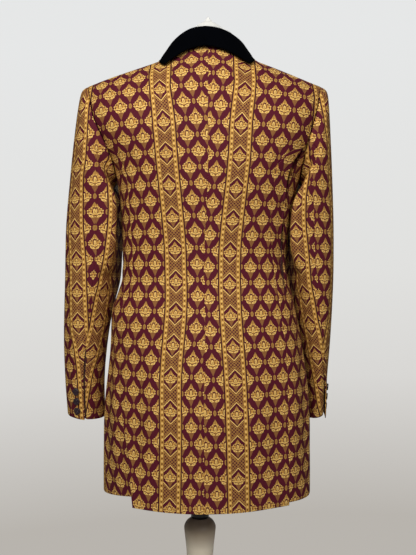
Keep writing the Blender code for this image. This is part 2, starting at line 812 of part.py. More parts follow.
def collar(parent):
    rows = []
    for along in [-along for along in COLLAR_ALONGS[:0:-1]] + list(COLLAR_ALONGS):
        side = 1 if along >= 0.0 else -1
        row = []
        for across in COLLAR_ACROSSES:
            def half(cross, length):
                return collar_point(side, clamp(length), cross)
            point = half(across, abs(along))
            normal = surface_normal(half, across, abs(along)) * side
            row.append((point + normal * VELVET_WALL, point))
        rows.append(row)
    return wall("collar", rows, "velvet", parent)


def dress_form(parent):
    """Smooth torso with a neck; its shoulder line carries the garment."""
    sections = [tuple(row) for row in FORM_SECTIONS]
    slope = SHOULDER_POINT - NECK_POINT
    for half_width, half_depth in zip(FORM_SHOULDER_WIDTHS, FORM_SHOULDER_DEPTHS):
        share = (half_width - NECK_POINT.x) / slope.x
        z = NECK_POINT.z + slope.z * share - FORM_SHOULDER_DROP
        sections.append((z, half_width, half_depth, NECK_POINT.y))
    neck_foot_z = sections[-1][0]
    for rise, radius_share in NECK_SECTIONS:
        radius = NECK_RADIUS * radius_share
        sections.append((lerp(neck_foot_z, NECK_TOP_Z, rise), radius, radius, NECK_CENTRE_Y))
    mesh_data = bmesh.new()
    rings = [[mesh_data.verts.new((0.0, 0.0, FORM_BOTTOM_Z))]]
    for z, half_width, half_depth, centre_y in sections:
        ring = []
        for index in range(FORM_SIDES):
            angle = 2.0 * math.pi * index / FORM_SIDES
            ring.append(mesh_data.verts.new((half_width * math.cos(angle),
                                             centre_y + half_depth * math.sin(angle), z)))
        rings.append(ring)
    rings.append([mesh_data.verts.new((0.0, NECK_CENTRE_Y, NECK_TOP_Z))])
    join_rings(mesh_data, rings)
    return new_object("dress_form", mesh_data, "form_cover", parent)


def stand(parent):
    rod = ((0.0, FORM_BOTTOM_Z - SEAM_GAP), (ROD_RADIUS, FORM_BOTTOM_Z - SEAM_GAP),
           (ROD_RADIUS, POLE_COLLAR_TOP_Z + SEAM_GAP), (0.0, POLE_COLLAR_TOP_Z + SEAM_GAP))
    turned("stand_rod", rod, "white_paint", parent)
    ring_bottom = POLE_TOP_Z + SEAM_GAP
    edge = POLE_COLLAR_RADIUS - BUTTON_BEVEL
    ring = ((0.0, POLE_COLLAR_TOP_Z), (edge, POLE_COLLAR_TOP_Z),
            (POLE_COLLAR_RADIUS, POLE_COLLAR_TOP_Z - BUTTON_BEVEL),
            (POLE_COLLAR_RADIUS, ring_bottom + BUTTON_BEVEL), (edge, ring_bottom), (0.0, ring_bottom))
    turned("pole_collar", ring, "black_metal", parent)
    turned("stand_pole", POLE_PROFILE, "white_paint", parent)
    turned("stand_base", BASE_PROFILE, "white_paint", parent)


def garment(parent):
    for side, name in SIDES.items():
        back_panel(side, parent)
        side_panel(side, parent)
        front_panel(side, parent)
        lapel(side, parent)
        sleeve_panel("sleeve_top", side, TOP_SLEEVE_COLUMNS, parent)
        sleeve_panel("sleeve_under", side, UNDER_SLEEVE_COLUMNS, parent)
        for number, along in enumerate(CUFF_BUTTON_ALONGS, 1):
            seat = sleeve_point(side, CUFF_BUTTON_AROUND[side], along)
            normal = sleeve_normal(side, CUFF_BUTTON_AROUND[side], along)
            button("cuff_button_%s_%d" % (name, number), seat, normal, CUFF_BUTTON_RADIUS, parent)
    levels = seam_levels(1.0 + armhole_rise(FRONT_SEAM_TURN))
    for number, row in enumerate(FRONT_BUTTON_ROWS, 1):
        low, high = (body_pair(1, 1.0, level, lap_lift(1, 1.0, level))[0]
                     for level in levels[row:row + 2])
        normal = Vector((-1.0, 0.0, 0.0)).cross(high - low)
        button("front_button_%d" % number, low.lerp(high, 0.5), normal, FRONT_BUTTON_RADIUS, parent)
    collar(parent)


def main():
    for item in list(bpy.data.objects):
        bpy.data.objects.remove(item, do_unlink=True)
    hanging = bpy.data.objects.new("garment", None)
    hanging.location = (GARMENT_X, 0.0, 0.0)
    bpy.context.scene.collection.objects.link(hanging)
    garment(hanging)
    dress_form(hanging)
    turned("neck_cap", CAP_PROFILE, "form_cover", hanging, (0.0, NECK_CENTRE_Y))
    stand(None)


main()
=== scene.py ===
"""Looks of a long brocade blazer with a velvet collar on its dress form, seen from the back.

Units are metres and +Z is up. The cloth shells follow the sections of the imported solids.
"""
import math
from functools import partial

import bpy
import numpy as np
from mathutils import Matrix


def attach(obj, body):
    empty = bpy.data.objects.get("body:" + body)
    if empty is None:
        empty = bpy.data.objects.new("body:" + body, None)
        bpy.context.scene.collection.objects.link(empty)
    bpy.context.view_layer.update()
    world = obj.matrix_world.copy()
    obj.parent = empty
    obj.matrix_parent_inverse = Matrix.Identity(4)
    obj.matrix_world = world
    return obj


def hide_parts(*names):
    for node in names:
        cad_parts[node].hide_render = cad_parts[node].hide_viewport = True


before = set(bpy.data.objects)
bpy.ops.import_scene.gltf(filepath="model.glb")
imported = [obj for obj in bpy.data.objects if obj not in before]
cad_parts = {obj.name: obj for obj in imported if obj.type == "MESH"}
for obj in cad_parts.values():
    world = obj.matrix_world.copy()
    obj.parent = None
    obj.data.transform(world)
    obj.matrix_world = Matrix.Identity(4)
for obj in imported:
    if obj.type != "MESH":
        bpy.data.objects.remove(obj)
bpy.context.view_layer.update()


def metres(rows):
    """Table of lengths that are written in millimetres."""
    return np.array(rows) / 1000


SIDES = {1: "right", -1: "left"}
COLUMN_OF = {1: 1, -1: 0}
GARMENT_X = 0.015
GARMENT_SHIFT = np.array((GARMENT_X, 0, 0))
UP = np.array((0, 0, 1))

# Cloth
CLOTH = 0.0016
SEAM_GAP = 0.00002
SET_IN_GAP = 0.0008
LAY_GAP = 0.0006
LAP = 0.002
VELVET = 0.0025
VELVET_EDGE = 0.004
VELVET_DIP = 0.0014
EDGE_STEPS = np.array((0, 0.0004, 0.001, 0.0019, 0.0031, 0.0048))
EDGE_WIDTH = 0.0034
EDGE_DIP = 0.0008
DIFFERENCE = 0.002
CREASE_HALF = 0.42
SHARP_ANGLE = 50

# Body
HEM_Z = 0.62
CHEST_Z = 1.19
BODY_SECTIONS = (
    # z, half_width, back, front, power, shift
    (0.62, 0.191, 0.14, 0.148, 1.9, 0), (0.7, 0.191, 0.142, 0.148, 2, 0),
    (0.785, 0.189, 0.143, 0.146, 2.1, 0), (0.9, 0.17, 0.131, 0.134, 2.2, -0.003),
    (1.027, 0.152, 0.108, 0.126, 2.2, -0.007), (1.11, 0.156, 0.112, 0.14, 2.25, -0.004),
    (1.19, 0.168, 0.122, 0.148, 2.4, 0), (1.26, 0.19, 0.124, 0.142, 2.8, 0),
    (1.32, 0.206, 0.118, 0.125, 3, 0), (1.39, 0.211, 0.106, 0.1, 3, 0),
)
NAPE_Y = -0.075
NAPE_Z = 1.425
FRONT_NECK_Y = 0.045
FRONT_NECK_Z = 1.385
NECK_POINT = np.array((0.075, -0.012, 1.411))
SHOULDER_POINT = np.array((0.211, -0.01, 1.364))
TURN_NECK = 0.13
TURN_SHOULDER = 0.35
CLOSE_START = 0.4
CLOSE_HEIGHT = 0.35
NECK_EASE = 2.2
ARMHOLE_POWER = 2.2
# The left shoulder is drawn out a little further than the right one
LEFT_REACH = 0.013
LEFT_REACH_Z = (1.205, 1.305)
LEFT_REACH_X = (0.09, 0.19)
# The skirt springs out below the waist
HIP_REACH = metres((
    # z, left, right
    (770, 0, 0), (837, 2, 4), (897, 6, 6), (925, 9, 6), (957, 11, 6), (985, 4, 5), (1010, 0, 3),
    (1035, 0, 0),
))
HIP_REACH_X = (0.06, 0.15)
# The centre back seam swings a little to the left towards the hem
CENTRE_LEAN = 0.0065
CENTRE_LEAN_Z = (0.96, 0.8)
CENTRE_LEAN_X = (0, 0.06)
SHOULDER_GAP_LEVEL = 0.0014
FOLD_TOP_LEVEL = 0.62
FOLDS = (
    # count, depth, phase
    (5, 0.0025, 0.15), (8, 0.0015, 0.6),
)
BACK_SEAM = metres((
    # z, left, right
    (620, 126, 139), (700, 137, 139), (785, 152, 137), (880, 152, 131), (960, 142, 122), (1040, 134, 115),
    (1110, 138, 110), (1190, 143, 115),
))
BACK_SEAM_RISE = 0.4
BACK_SEAM_EASE = 2.5
FRONT_SEAM_TURN = 0.6
SIDE_CREASE_FADE = 0.16
VENT_LEVEL = 0.3
VENT_CURVE = 3
VENT_FLARE = {1: 0.003, -1: 0.009}
VENT_RAISE = {1: 0.004, -1: 0.016}
FRONT_LAP = 0.02
BREAK_LEVEL = 0.79
CROSS_LEVEL = 1.13
LAP_RAMP_TURN = 0.1
LAP_FADE_LEVEL = 0.35
LAPEL_FOOT_LEVEL = {1: 0.81, -1: 1.13}
LAPEL_TIP_LEVEL = 1.5
LAPEL_NECK_LEVEL = 1.6
LAPEL_WIDTH = (
    # rise, width
    (0, 0.006), (0.35, 0.04), (0.75, 0.072), (1, 0.084),
)

# Sleeves
SLEEVES = {
    -1: (
        # along, outer_x, outer_z, inner_x, inner_z, half_depth, centre_y
        (0, 0.224, 1.364, 0.169, 1.19, 0.066, 0), (0.05, 0.2335, 1.355, 0.177, 1.181, 0.068, 0),
        (0.1, 0.2392, 1.33, 0.1755, 1.172, 0.07, 0), (0.2, 0.2468, 1.273, 0.171, 1.15, 0.071, 0),
        (0.32, 0.255, 1.2, 0.1685, 1.118, 0.071, 0.002), (0.45, 0.2633, 1.11, 0.167, 1.065, 0.069, 0.004),
        (0.6, 0.2665, 1.01, 0.1745, 0.995, 0.065, 0.008), (0.75, 0.27, 0.905, 0.189, 0.9, 0.058, 0.014),
        (0.88, 0.269, 0.825, 0.1965, 0.823, 0.052, 0.02), (1, 0.2655, 0.756, 0.196, 0.75, 0.047, 0.026),
    ),
    1: (
        (0, 0.211, 1.364, 0.169, 1.19, 0.066, 0), (0.05, 0.22, 1.355, 0.1765, 1.181, 0.068, 0),
        (0.1, 0.223, 1.33, 0.174, 1.17, 0.07, 0), (0.2, 0.2265, 1.273, 0.168, 1.145, 0.072, 0.002),
        (0.32, 0.2305, 1.2, 0.1615, 1.112, 0.073, 0.006),
        (0.45, 0.2345, 1.11, 0.156, 1.062, 0.071, 0.012), (0.6, 0.236, 1.01, 0.1585, 0.992, 0.067, 0.022),
        (0.75, 0.233, 0.905, 0.176, 0.897, 0.062, 0.036),
        (0.88, 0.229, 0.825, 0.1875, 0.818, 0.058, 0.052), (1, 0.226, 0.752, 0.187, 0.745, 0.054, 0.066),
    ),
}
CAP_BLEND = 0.1
# How far the inner side of each sleeve bends round the body, behind and in front
SLEEVE_BEND = {
    -1: metres((
        # z, behind, before
        (880, 0, 0), (950, 0, 10), (1005, 12, 30), (1065, 50, 28), (1110, 56, 33), (1150, 54, 36),
        (1180, 34, 33), (1210, 12, 18), (1240, 0, 0), (1300, 0, 0),
    )),
    1: metres((
        (880, 0, 0), (950, 0, 12), (1005, 12, 34), (1060, 54, 36), (1110, 62, 26), (1150, 56, 26),
        (1180, 34, 22), (1210, 12, 10), (1240, 0, 0), (1300, 0, 0),
    )),
}
BEND_START = 0.16
BEHIND_POWER = 3
BEFORE_POWER = 1.5
SLEEVE_BACK_SEAM = {
    -1: (
        # along, around
        (0, 0.283), (0.06, 0.3), (0.12, 0.292), (0.22, 0.265), (0.3, 0.241), (0.37, 0.225), (0.44, 0.226),
        (0.53, 0.249), (0.62, 0.291), (0.7, 0.304), (0.78, 0.289), (1, 0.277),
    ),
    1: (
        (0, 0.272), (0.06, 0.286), (0.14, 0.276), (0.23, 0.252), (0.3, 0.226), (0.37, 0.202),
        (0.5, 0.199), (0.56, 0.213), (0.62, 0.235), (0.69, 0.238), (0.75, 0.225), (0.85, 0.202),
        (0.93, 0.163), (1, 0.133),
    ),
}
SLEEVE_FRONT_SEAM = 0.65
SLEEVE_GIRTH = 0.26
SLEEVE_LENGTH = 0.61
# The cuff vent opens towards the hem, over an underlap; the top sleeve's edge stands off a little
CUFF_VENT = {
    # side: start_along, opening, top_lift, top_drop
    -1: (0.755, 0.0014, 0.0012, 0.001),
    1: (0.8, 0.0032, 0.004, 0.006),
}
CUFF_VENT_REACH = 0.016
OPENING_RUN = 0.08
UNDERLAP_RUN = 0.04
UNDERLAP = 0.01
UNDERLAP_SINK = 0.0045
UNDERLAP_EDGE = 0.003

# Collar
COLLAR_BACK = (
    # along, foot_turn, foot_level, stand, fall_turn, fall_level, fall_lift
    (0, 0, 2, 0.03, 0, 1.95, 0.01), (0.12, 0.034, 2, 0.028, 0.026, 1.928, 0.0095),
    (0.25, 0.068, 2, 0.019, 0.054, 1.886, 0.008), (0.36, 0.096, 2, 0.0105, 0.078, 1.842, 0.007),
    (0.43, 0.113, 2, 0.008, 0.09, 1.836, 0.0066), (0.46, 0.12, 2, 0.0064, 0.097, 1.838, 0.0054),
    (0.485, 0.126, 2, 0.0052, 0.107, 1.862, 0.0038), (0.5, 0.13, 2, 0.006, 0.14, 2, 0.0032),
)
COLLAR_FRONT = (
    (0.5, 0.87, 2, 0.006, 0.86, 2, 0.0032), (0.75, 0.89, 1.86, 0.006, 0.8, 1.88, 0.0044),
    (1, 0.915, 1.68, 0.004, 0.795, 1.72, 0.004),
)
COLLAR_ROLL = 0.42
COLLAR_SPREAD = 0.003
COLLAR_LEAN = 0.28
COLLAR_EDGE_GAP = 0.0012
COLLAR_SHIFT = np.array((-0.004, 0, 0.001))
COLLAR_END_SHIFT = {1: np.array((0, 0, 0.003)), -1: np.zeros(3)}
COLLAR_SHIFT_FADE = {1: (0.08, 0.36), -1: (0.43, 0.66)}
COLLAR_SPREAD_FADE = (0.4, 0.5)

# Buttons
CUFF_BUTTON_RADIUS = 0.0065
FRONT_BUTTON_RADIUS = 0.01
BUTTON_HEIGHT = 0.0038
BUTTON_BEVEL = 0.001
BUTTON_ANGLES = np.linspace(0, math.tau, 64, endpoint=False)[:, None]
BUTTON_COSINES = np.cos(BUTTON_ANGLES)
BUTTON_SINES = np.sin(BUTTON_ANGLES)
BUTTON_RINGS = 26
# Shares of a button's radius, and of its bevel for dish, edge and holes
BUTTON_RIM = 0.84
BUTTON_RIM_WIDTH = 0.13
BUTTON_EDGE = 0.9
BUTTON_DISH = 0.55
BUTTON_EDGE_DROP = 0.9
HOLE_DEPTH = 1.1
HOLE_PLACE = 0.24
HOLE_EDGE = (0.091, 0.169)
CUFF_BUTTON_AROUND = {1: 0.085, -1: 0.216}
CUFF_BUTTON_ALONGS = (0.912, 0.943, 0.974)
FRONT_BUTTON_ROWS = (9, 7, 5)
SEAM_ROWS = 16

# Dress form and stand
FORM_SECTIONS = metres((
    # z, half_width, half_depth, centre_y
    (675, 120, 85, 0), (690, 160, 115, 0), (785, 172, 126, 0), (900, 152, 115, 0), (1027, 130, 95, 8),
    (1130, 142, 106, 14), (1230, 152, 108, 10), (1310, 168, 90, 0), (1345, 178, 64, -8),
))
FORM_SHOULDER = metres((
    # half_width, half_depth
    (180, 40), (165, 44), (140, 48), (115, 50), (90, 50), (70, 50),
))
FORM_SHOULDER_DROP = 0.0027
NECK_RADIUS = 0.0465
NECK_CENTRE_Y = -0.01
NECK_TOP_Z = 1.4565
NECK_SECTIONS = (
    # rise, radius_share
    (0.25, 1.06), (0.6, 1), (1, 1),
)
CAP_PROFILE = metres((
    # radius, z
    (0, 1496), (1.5, 1494.5), (5, 1489.5), (8.3, 1485.8), (13.3, 1482.1), (20.4, 1477.6), (30, 1469.5),
    (40, 1463), (46.5, 1459), (46, 1456.8), (0, 1456.8),
))
ROD_PROFILE = metres((
    (0, 674.98), (12.5, 674.98), (12.5, 590.02), (0, 590.02),
))
POLE_COLLAR_PROFILE = metres((
    (0, 590), (15.5, 590), (16.2, 589.7), (16.5, 589), (16.5, 567.52), (15.5, 566.52), (0, 566.52),
))
# The stand's paint darkens over this run below the pole's top, and the rod above it is dark all over:
# painted shade under the skirt
POLE_TOP_Z = 0.5665
POLE_PAINTED_SHADE_RUN = 0.055
POLE_PROFILE = metres((
    (0, 566.5), (15, 566.5), (24, 560), (28.5, 553), (29.4, 547), (28.5, 538), (24.3, 495), (20, 390),
    (18.5, 250), (20, 120), (27, 60), (30, 30.3), (0, 30.3),
))
BASE_PROFILE = metres((
    (0, 30), (60, 29), (120, 25), (155, 18), (162, 10), (162, 3), (159, 0), (0, 0),
))
TURNED_ANGLES = np.linspace(0, math.tau, 96, endpoint=False)
FORM_STEPS = 5

# Grain: where the border stripe's centre line runs on the back
BACK_BORDER = metres((
    # z, left, right
    (620, 64, 52), (750, 62, 49), (845, 62.5, 45.5), (960, 54.5, 38), (1030, 55.5, 37), (1080, 57.5, 39),
    (1210, 69.5, 52.5), (1280, 75.2, 56.5), (1345, 83.6, 63.9), (1365, 83.6, 63.9),
))
# Where the line along the border's edge nearest the back seam runs on the sleeves
TOP_SLEEVE_LINE = {
    -1: metres((
        # z, from_middle
        (750, 198.5), (847, 202), (889, 207.5), (914, 214), (936, 214.9), (982, 215.8), (1041, 217),
        (1094, 221.1), (1142, 221.9), (1196, 220.1), (1223, 215.5), (1285, 212.5), (1331, 211.7),
    )),
    1: metres((
        (746, 194.3), (820, 199), (893, 211.4), (911, 214.8), (942, 220.3), (972, 222.4), (1008, 223.8),
        (1035, 225), (1081, 224.5), (1135, 221.5), (1197, 215.4), (1264, 210.8), (1292, 205.9),
        (1326, 200.7),
    )),
}
UNDER_SLEEVE_LINE = {
    -1: metres((
        (755, 258), (836, 245.5), (882, 226.5), (921, 214.3), (943, 210.2), (975, 203), (1008, 194.5),
        (1044, 186.2), (1102, 177.9), (1142, 175.8), (1209, 178.6), (1226, 177.8),
    )),
    1: metres((
        (751, 225), (828, 222), (895, 210.5), (935, 200.3), (969, 193.4), (1005, 185.7), (1050, 181),
        (1107, 174.4), (1146, 173.5), (1172, 175.6), (1209, 180.3), (1241, 181),
    )),
}
LINE_TO_BORDER = 0.01915
LINE_START = -0.05
LINE_REACH = 0.33
TURNS = np.linspace(-0.02, 1.12, 229)
LEVELS = np.linspace(0, 2, 201)
AROUNDS = np.linspace(-0.45, 0.75, 241)
ALONGS = np.linspace(1, 0, 241)
HEIGHTS = np.linspace(0.73, 1.37, 161)
SLEEVE_EASE = 0.981
SIDE_BORDER = 0.105
FRONT_BORDER = 0.07
BODY_ROW_Z = {1: 1.3013, -1: 1.308}
SLEEVE_ROW_Z = {1: 0.956, -1: 0.9615}
BORDER_TURN = 0.12
EASE_LEVEL = 1.43
EASE_SHARE = 0.87
TOP_FLATTEN = 0.12
FLATTEN_LEVELS = (1.25, 1.45)
NECK_LEVEL = 1.8
NECK_CROWD = 0.45
NECK_TURNS = (0.08, 0.14)


def lerp(start, end, share):
    return start + (end - start) * share


def alike(*values):
    """The values as arrays of one shape."""
    return np.broadcast_arrays(*(np.asarray(value, float) for value in values))


def smoothstep(value):
    value = np.clip(value, 0, 1)
    return value * value * (3 - 2 * value)


def within(span, value):
    return smoothstep((value - span[0]) / (span[1] - span[0]))


def signed_power(value, power):
    return np.sign(value) * np.abs(value) ** power


def table_at(rows, key):
    """Columns after the first, read at every key from a smooth curve through the table's rows."""
    table = np.array(rows, float)
    key = np.asarray(key, float)
    index = np.clip(np.searchsorted(table[:, 0], key, side="right") - 1, 0, len(table) - 2)
    wide = np.pad(table, ((1, 1), (0, 0)), mode="edge")
    before, here, there, after = (wide[index + step] for step in range(4))
    span = (there - here)[..., :1]
    share = np.clip((key[..., None] - here[..., :1]) / span, 0, 1)
    leave = (there - before) / (there - before)[..., :1] * span
    arrive = (after - here) / (after - here)[..., :1] * span
    bow = share * (1 - share) * ((1 - share) * leave - share * arrive)
    return np.moveaxis(lerp(here, there, smoothstep(share)) + bow, -1, 0)[1:]


def unit(vectors):
    return vectors / np.maximum(np.linalg.norm(vectors, axis=-1, keepdims=True), 1e-12)


def ring(side, turn, z):
    """Level section of the body; turn is 0 at the centre back and 1 in front."""
    half_width, back, front, power, shift = table_at(BODY_SECTIONS, z)
    sine = np.sin(math.pi * turn)
    cosine = np.cos(math.pi * turn)
    depth = np.where(cosine > 0, back, front)
    level = (z - HEM_Z) / (CHEST_Z - HEM_Z)
    fold = sum(fold_depth * np.cos(math.tau * (count * side * turn * 0.5 + phase))
               for count, fold_depth, phase in FOLDS)
    swell = 1 + fold / half_width * smoothstep(1 - level / FOLD_TOP_LEVEL)
    x = half_width * signed_power(sine, 2 / power) * swell
    y = -depth * signed_power(cosine, 2 / power) * swell
    return np.stack((side * x + shift, y, z), -1)


def top_line(side, turn):
    """Neckline and shoulder seam, where the upright line of each turn ends."""
    from_centre = np.where(turn <= 0.5, turn, 1 - turn)
    share = np.clip((from_centre - TURN_NECK) / (TURN_SHOULDER - TURN_NECK), 0, 1)
    shoulder = lerp(NECK_POINT, SHOULDER_POINT, share[..., None])
    angle = 0.5 * math.pi * from_centre / TURN_NECK
    centre_y = np.where(turn <= 0.5, NAPE_Y, FRONT_NECK_Y)
    centre_z = np.where(turn <= 0.5, NAPE_Z, FRONT_NECK_Z)
    neck = np.stack((NECK_POINT[0] * np.sin(angle),
                     lerp(NECK_POINT[1], centre_y, np.cos(angle)),
                     lerp(NECK_POINT[2], centre_z, np.cos(angle))), -1)
    point = np.where((from_centre >= TURN_NECK)[..., None], shoulder, neck)
    return point * np.array((side, 1, 1))


def body(side, turn, level):
    """Outer face of the body; level is 0 at the hem, 1 at the underarm, 2 at neck and shoulder."""
    turn, level = alike(turn, level)
    top = top_line(side, turn)
    top_z = top[..., 2]
    middle_z = lerp(CHEST_Z, top_z, CLOSE_HEIGHT)
    rise = level - 1
    close = np.maximum((rise - CLOSE_START) / (1 - CLOSE_START), 0)
    from_centre = np.abs(np.minimum(turn, np.abs(1 - turn)))
    neck_share = 1 - smoothstep(2 * from_centre / TURN_NECK - 1)
    angle = 0.5 * math.pi * close
    up = lerp(np.sin(angle), close, neck_share)
    over = lerp(1 - np.cos(angle), close ** NECK_EASE, neck_share)
    z = np.where(level <= 1, lerp(HEM_Z, CHEST_Z, level),
                 np.where(close <= 0, lerp(CHEST_Z, middle_z, rise / CLOSE_START),
                          lerp(middle_z, top_z, up)))
    point = ring(side, turn, z)
    point[..., :2] = lerp(point[..., :2], top[..., :2], over[..., None])
    lean = CENTRE_LEAN * within(CENTRE_LEAN_Z, z) * (1 - within(CENTRE_LEAN_X, np.abs(point[..., 0])))
    point[..., 0] -= lean * (turn < 0.5)
    hip = table_at(HIP_REACH, z)[COLUMN_OF[side]]
    point[..., 0] += side * hip * within(HIP_REACH_X, side * point[..., 0])
    if side < 0:
        reach = within(LEFT_REACH_Z, z) * within(LEFT_REACH_X, -point[..., 0])
        point[..., 0] -= LEFT_REACH * reach
    return point


def normals(surface, first, second):
    run = surface(first + DIFFERENCE, second) - surface(first - DIFFERENCE, second)
    rise = surface(first, second + DIFFERENCE) - surface(first, second - DIFFERENCE)
    return unit(np.cross(run, rise))


def shifted(surface, turn, level, distance):
    """Turn that lies the given distance further round on the same level."""
    ahead = surface(turn + DIFFERENCE, level) - surface(turn - DIFFERENCE, level)
    speed = np.linalg.norm(ahead, axis=-1) / (2 * DIFFERENCE)
    return turn + distance / np.maximum(speed, 1e-3)


def armhole_turn(rise):
    reach = (1 - (1 - np.clip(rise, 0, 1)) ** ARMHOLE_POWER) ** (1 / ARMHOLE_POWER)
    return (0.5 - TURN_SHOULDER) * reach


def armhole_rise(turn):
    reach = np.clip(np.abs(0.5 - turn) / (0.5 - TURN_SHOULDER), 0, 1)
    return 1 - (1 - reach ** ARMHOLE_POWER) ** (1 / ARMHOLE_POWER)


def back_seam_turn(side, level):
    z = lerp(HEM_Z, CHEST_Z, np.minimum(level, 1))
    half_width, _, _, power, shift = table_at(BODY_SECTIONS, z)
    distance = table_at(BACK_SEAM, z)[COLUMN_OF[side]] - side * shift
    turn = np.arcsin(np.minimum(1, distance / half_width) ** (0.5 * power)) / math.pi
    end = 0.5 - armhole_turn(BACK_SEAM_RISE)
    share = np.clip((level - 1) / BACK_SEAM_RISE, 0, 1) ** BACK_SEAM_EASE
    return lerp(turn, end, share)


def back_edge_turn(side, level):
    return np.where(level <= 1 + BACK_SEAM_RISE, back_seam_turn(side, level),
                    0.5 - armhole_turn(level - 1))


def front_side_turn(level):
    corner = 1 + armhole_rise(FRONT_SEAM_TURN)
    return np.where(level <= corner, FRONT_SEAM_TURN, 0.5 + armhole_turn(level - 1))


def front_edge_turn(side, level):
    lap = shifted(partial(body, side), 1, BREAK_LEVEL, FRONT_LAP)
    share = np.clip((level - BREAK_LEVEL) / (2 - BREAK_LEVEL), 0, 1)
    return lerp(lap, 1 - TURN_NECK, share)


def lap_lift(side, turn, level):
    if side < 0:
        return np.zeros(np.broadcast(turn, level).shape)
    ramp = smoothstep((turn - (1 - 2 * LAP_RAMP_TURN)) / LAP_RAMP_TURN)
    fade = 1 - smoothstep((level - CROSS_LEVEL) / LAP_FADE_LEVEL)
    return ramp * fade * (LAP + LAY_GAP)


def armhole(side, around):
    """Armhole loop: around is 0 at the shoulder point, a quarter at the back, a half underneath."""
    rise = 0.5 + 0.5 * np.cos(math.tau * around)
    towards = np.where(around % 1 > 0.5, 1, -1)
    turn = 0.5 + armhole_turn(rise) * towards
    return body(side, turn, 1 + rise) + np.array((side * SET_IN_GAP, 0, 0))


def sleeve_section(side, around, along):
    outer_x, outer_z, inner_x, inner_z, half_depth, centre_y = table_at(SLEEVES[side], along)
    sine = np.sin(math.tau * around)
    share = 0.5 - 0.5 * np.cos(math.tau * around)
    z = lerp(outer_z, inner_z, share)
    behind, before = table_at(SLEEVE_BEND[side], z)
    bend = behind * np.maximum(0, sine) ** BEHIND_POWER
    bend = bend + before * np.maximum(0, -sine) ** BEFORE_POWER
    bend = bend * share * smoothstep(along / BEND_START)
    x = side * (lerp(outer_x, inner_x, share) - bend)
    return np.stack((x, centre_y - half_depth * sine, z), -1)


def sleeve(side, around, along):
    around, along = alike(around, along)
    along = np.maximum(along, 0)
    offset = armhole(side, around) - sleeve_section(side, around, np.zeros_like(along))
    blend = 1 - smoothstep(along / CAP_BLEND)
    return sleeve_section(side, around, along) + offset * blend[..., None]


def collar_sizes(side, along):
    behind = table_at(COLLAR_BACK, along)
    ahead = table_at(COLLAR_FRONT, along)
    sizes = np.where(along <= 0.5, behind, ahead)
    edge = front_edge_turn(side, sizes[1])
    gap = COLLAR_EDGE_GAP * smoothstep(2 * along - 1)
    sizes[0] = np.where(along <= 0.5, sizes[0], shifted(partial(body, side), edge, sizes[1], gap))
    return sizes


def from_neck(point):
    """Level direction of a point from the neck's axis."""
    return unit((point - np.array((0, NECK_CENTRE_Y, 0))) * np.array((1, 1, 0)))


def collar_face(side, along, across):
    """Hidden face of the collar: across is 0 at the foot of the stand and 1 at the fall edge."""
    along, across = alike(along, across)
    surface = partial(body, side)
    foot_turn, foot_level, stand, fall_turn, fall_level, fall_lift = collar_sizes(side, along)
    in_front = smoothstep(2 * along - 1)[..., None]
    foot = surface(foot_turn, foot_level)
    lean = UP - from_neck(foot) * COLLAR_LEAN
    rise = unit(lerp(lean, normals(surface, foot_turn, foot_level) * side, in_front))
    aside = lerp(COLLAR_SHIFT, COLLAR_END_SHIFT[side], within(COLLAR_SHIFT_FADE[side], along)[..., None])
    foot = foot + rise * SEAM_GAP + aside
    stand_point = foot + rise * (stand * across / COLLAR_ROLL)[..., None]
    share = np.clip((across - COLLAR_ROLL) / (1 - COLLAR_ROLL), 0, None)
    bulge = COLLAR_SPREAD * 4 * share * (1 - share) * (1 - within(COLLAR_SPREAD_FADE, along))
    fall = surface(fall_turn, fall_level)
    off = normals(surface, fall_turn, fall_level) * side
    fall = fall + off * (fall_lift - VELVET)[..., None] + aside
    behind = lerp(foot + rise * stand[..., None], fall, share[..., None])
    behind = behind + from_neck(fall) * bulge[..., None]
    turn = lerp(foot_turn, fall_turn, share)
    level = lerp(foot_level, fall_level, share)
    standing = rise * ((stand + SEAM_GAP) * (1 - share))[..., None]
    lying = normals(surface, turn, level) * side * ((fall_lift - VELVET) * share)[..., None]
    ahead = surface(turn, level) + standing + lying + aside
    turned_down = np.where((along <= 0.5)[..., None], behind, ahead)
    return np.where((across <= COLLAR_ROLL)[..., None], stand_point, turned_down)


# Steps between the edges of each piece, and the usual length of that run
STEPS = {
    "back": (56, 0.12),
    "side": (44, 0.15),
    "side_up": (120, CHEST_Z - HEM_Z),
    "front": (52, 0.18),
    "lapel": (24, 0.07),
    "lapel_up": (60, 0.3),
    "sleeve_top": (60, 0.16),
    "sleeve_under": (60, 0.1),
    "sleeve_along": (130, SLEEVE_LENGTH),
    "collar": (44, 0.075),
    "collar_along": (150, 0.42),
}
BACK_ROWS = (131, 61)
FRONT_ROWS = (111, 71)
SIDE_ROUNDS = 40


def close_ends(run):
    """Even shares, with closer ones at both ends so that the edges can turn."""
    count, length = STEPS[run]
    ends = EDGE_STEPS / length
    middle = np.linspace(ends[-1], 1 - ends[-1], count + 1)
    return np.concatenate((ends[:-1], middle, 1 - ends[-2::-1]))


def run_lengths(points, axis):
    """Distance of every point from the first and from the last one along a grid's axis."""
    steps = np.linalg.norm(np.diff(points, axis=axis), axis=-1)
    start = np.zeros_like(np.take(steps, [0], axis=axis))
    travelled = np.concatenate((start, np.cumsum(steps, axis=axis)), axis=axis)
    return travelled, np.take(travelled, [-1], axis=axis) - travelled


def edge_dip(points, width=EDGE_WIDTH, dip=EDGE_DIP):
    nearest = np.minimum.reduce(run_lengths(points, 0) + run_lengths(points, 1))
    return dip * (1 - np.clip(nearest / width, 0, 1)) ** 2


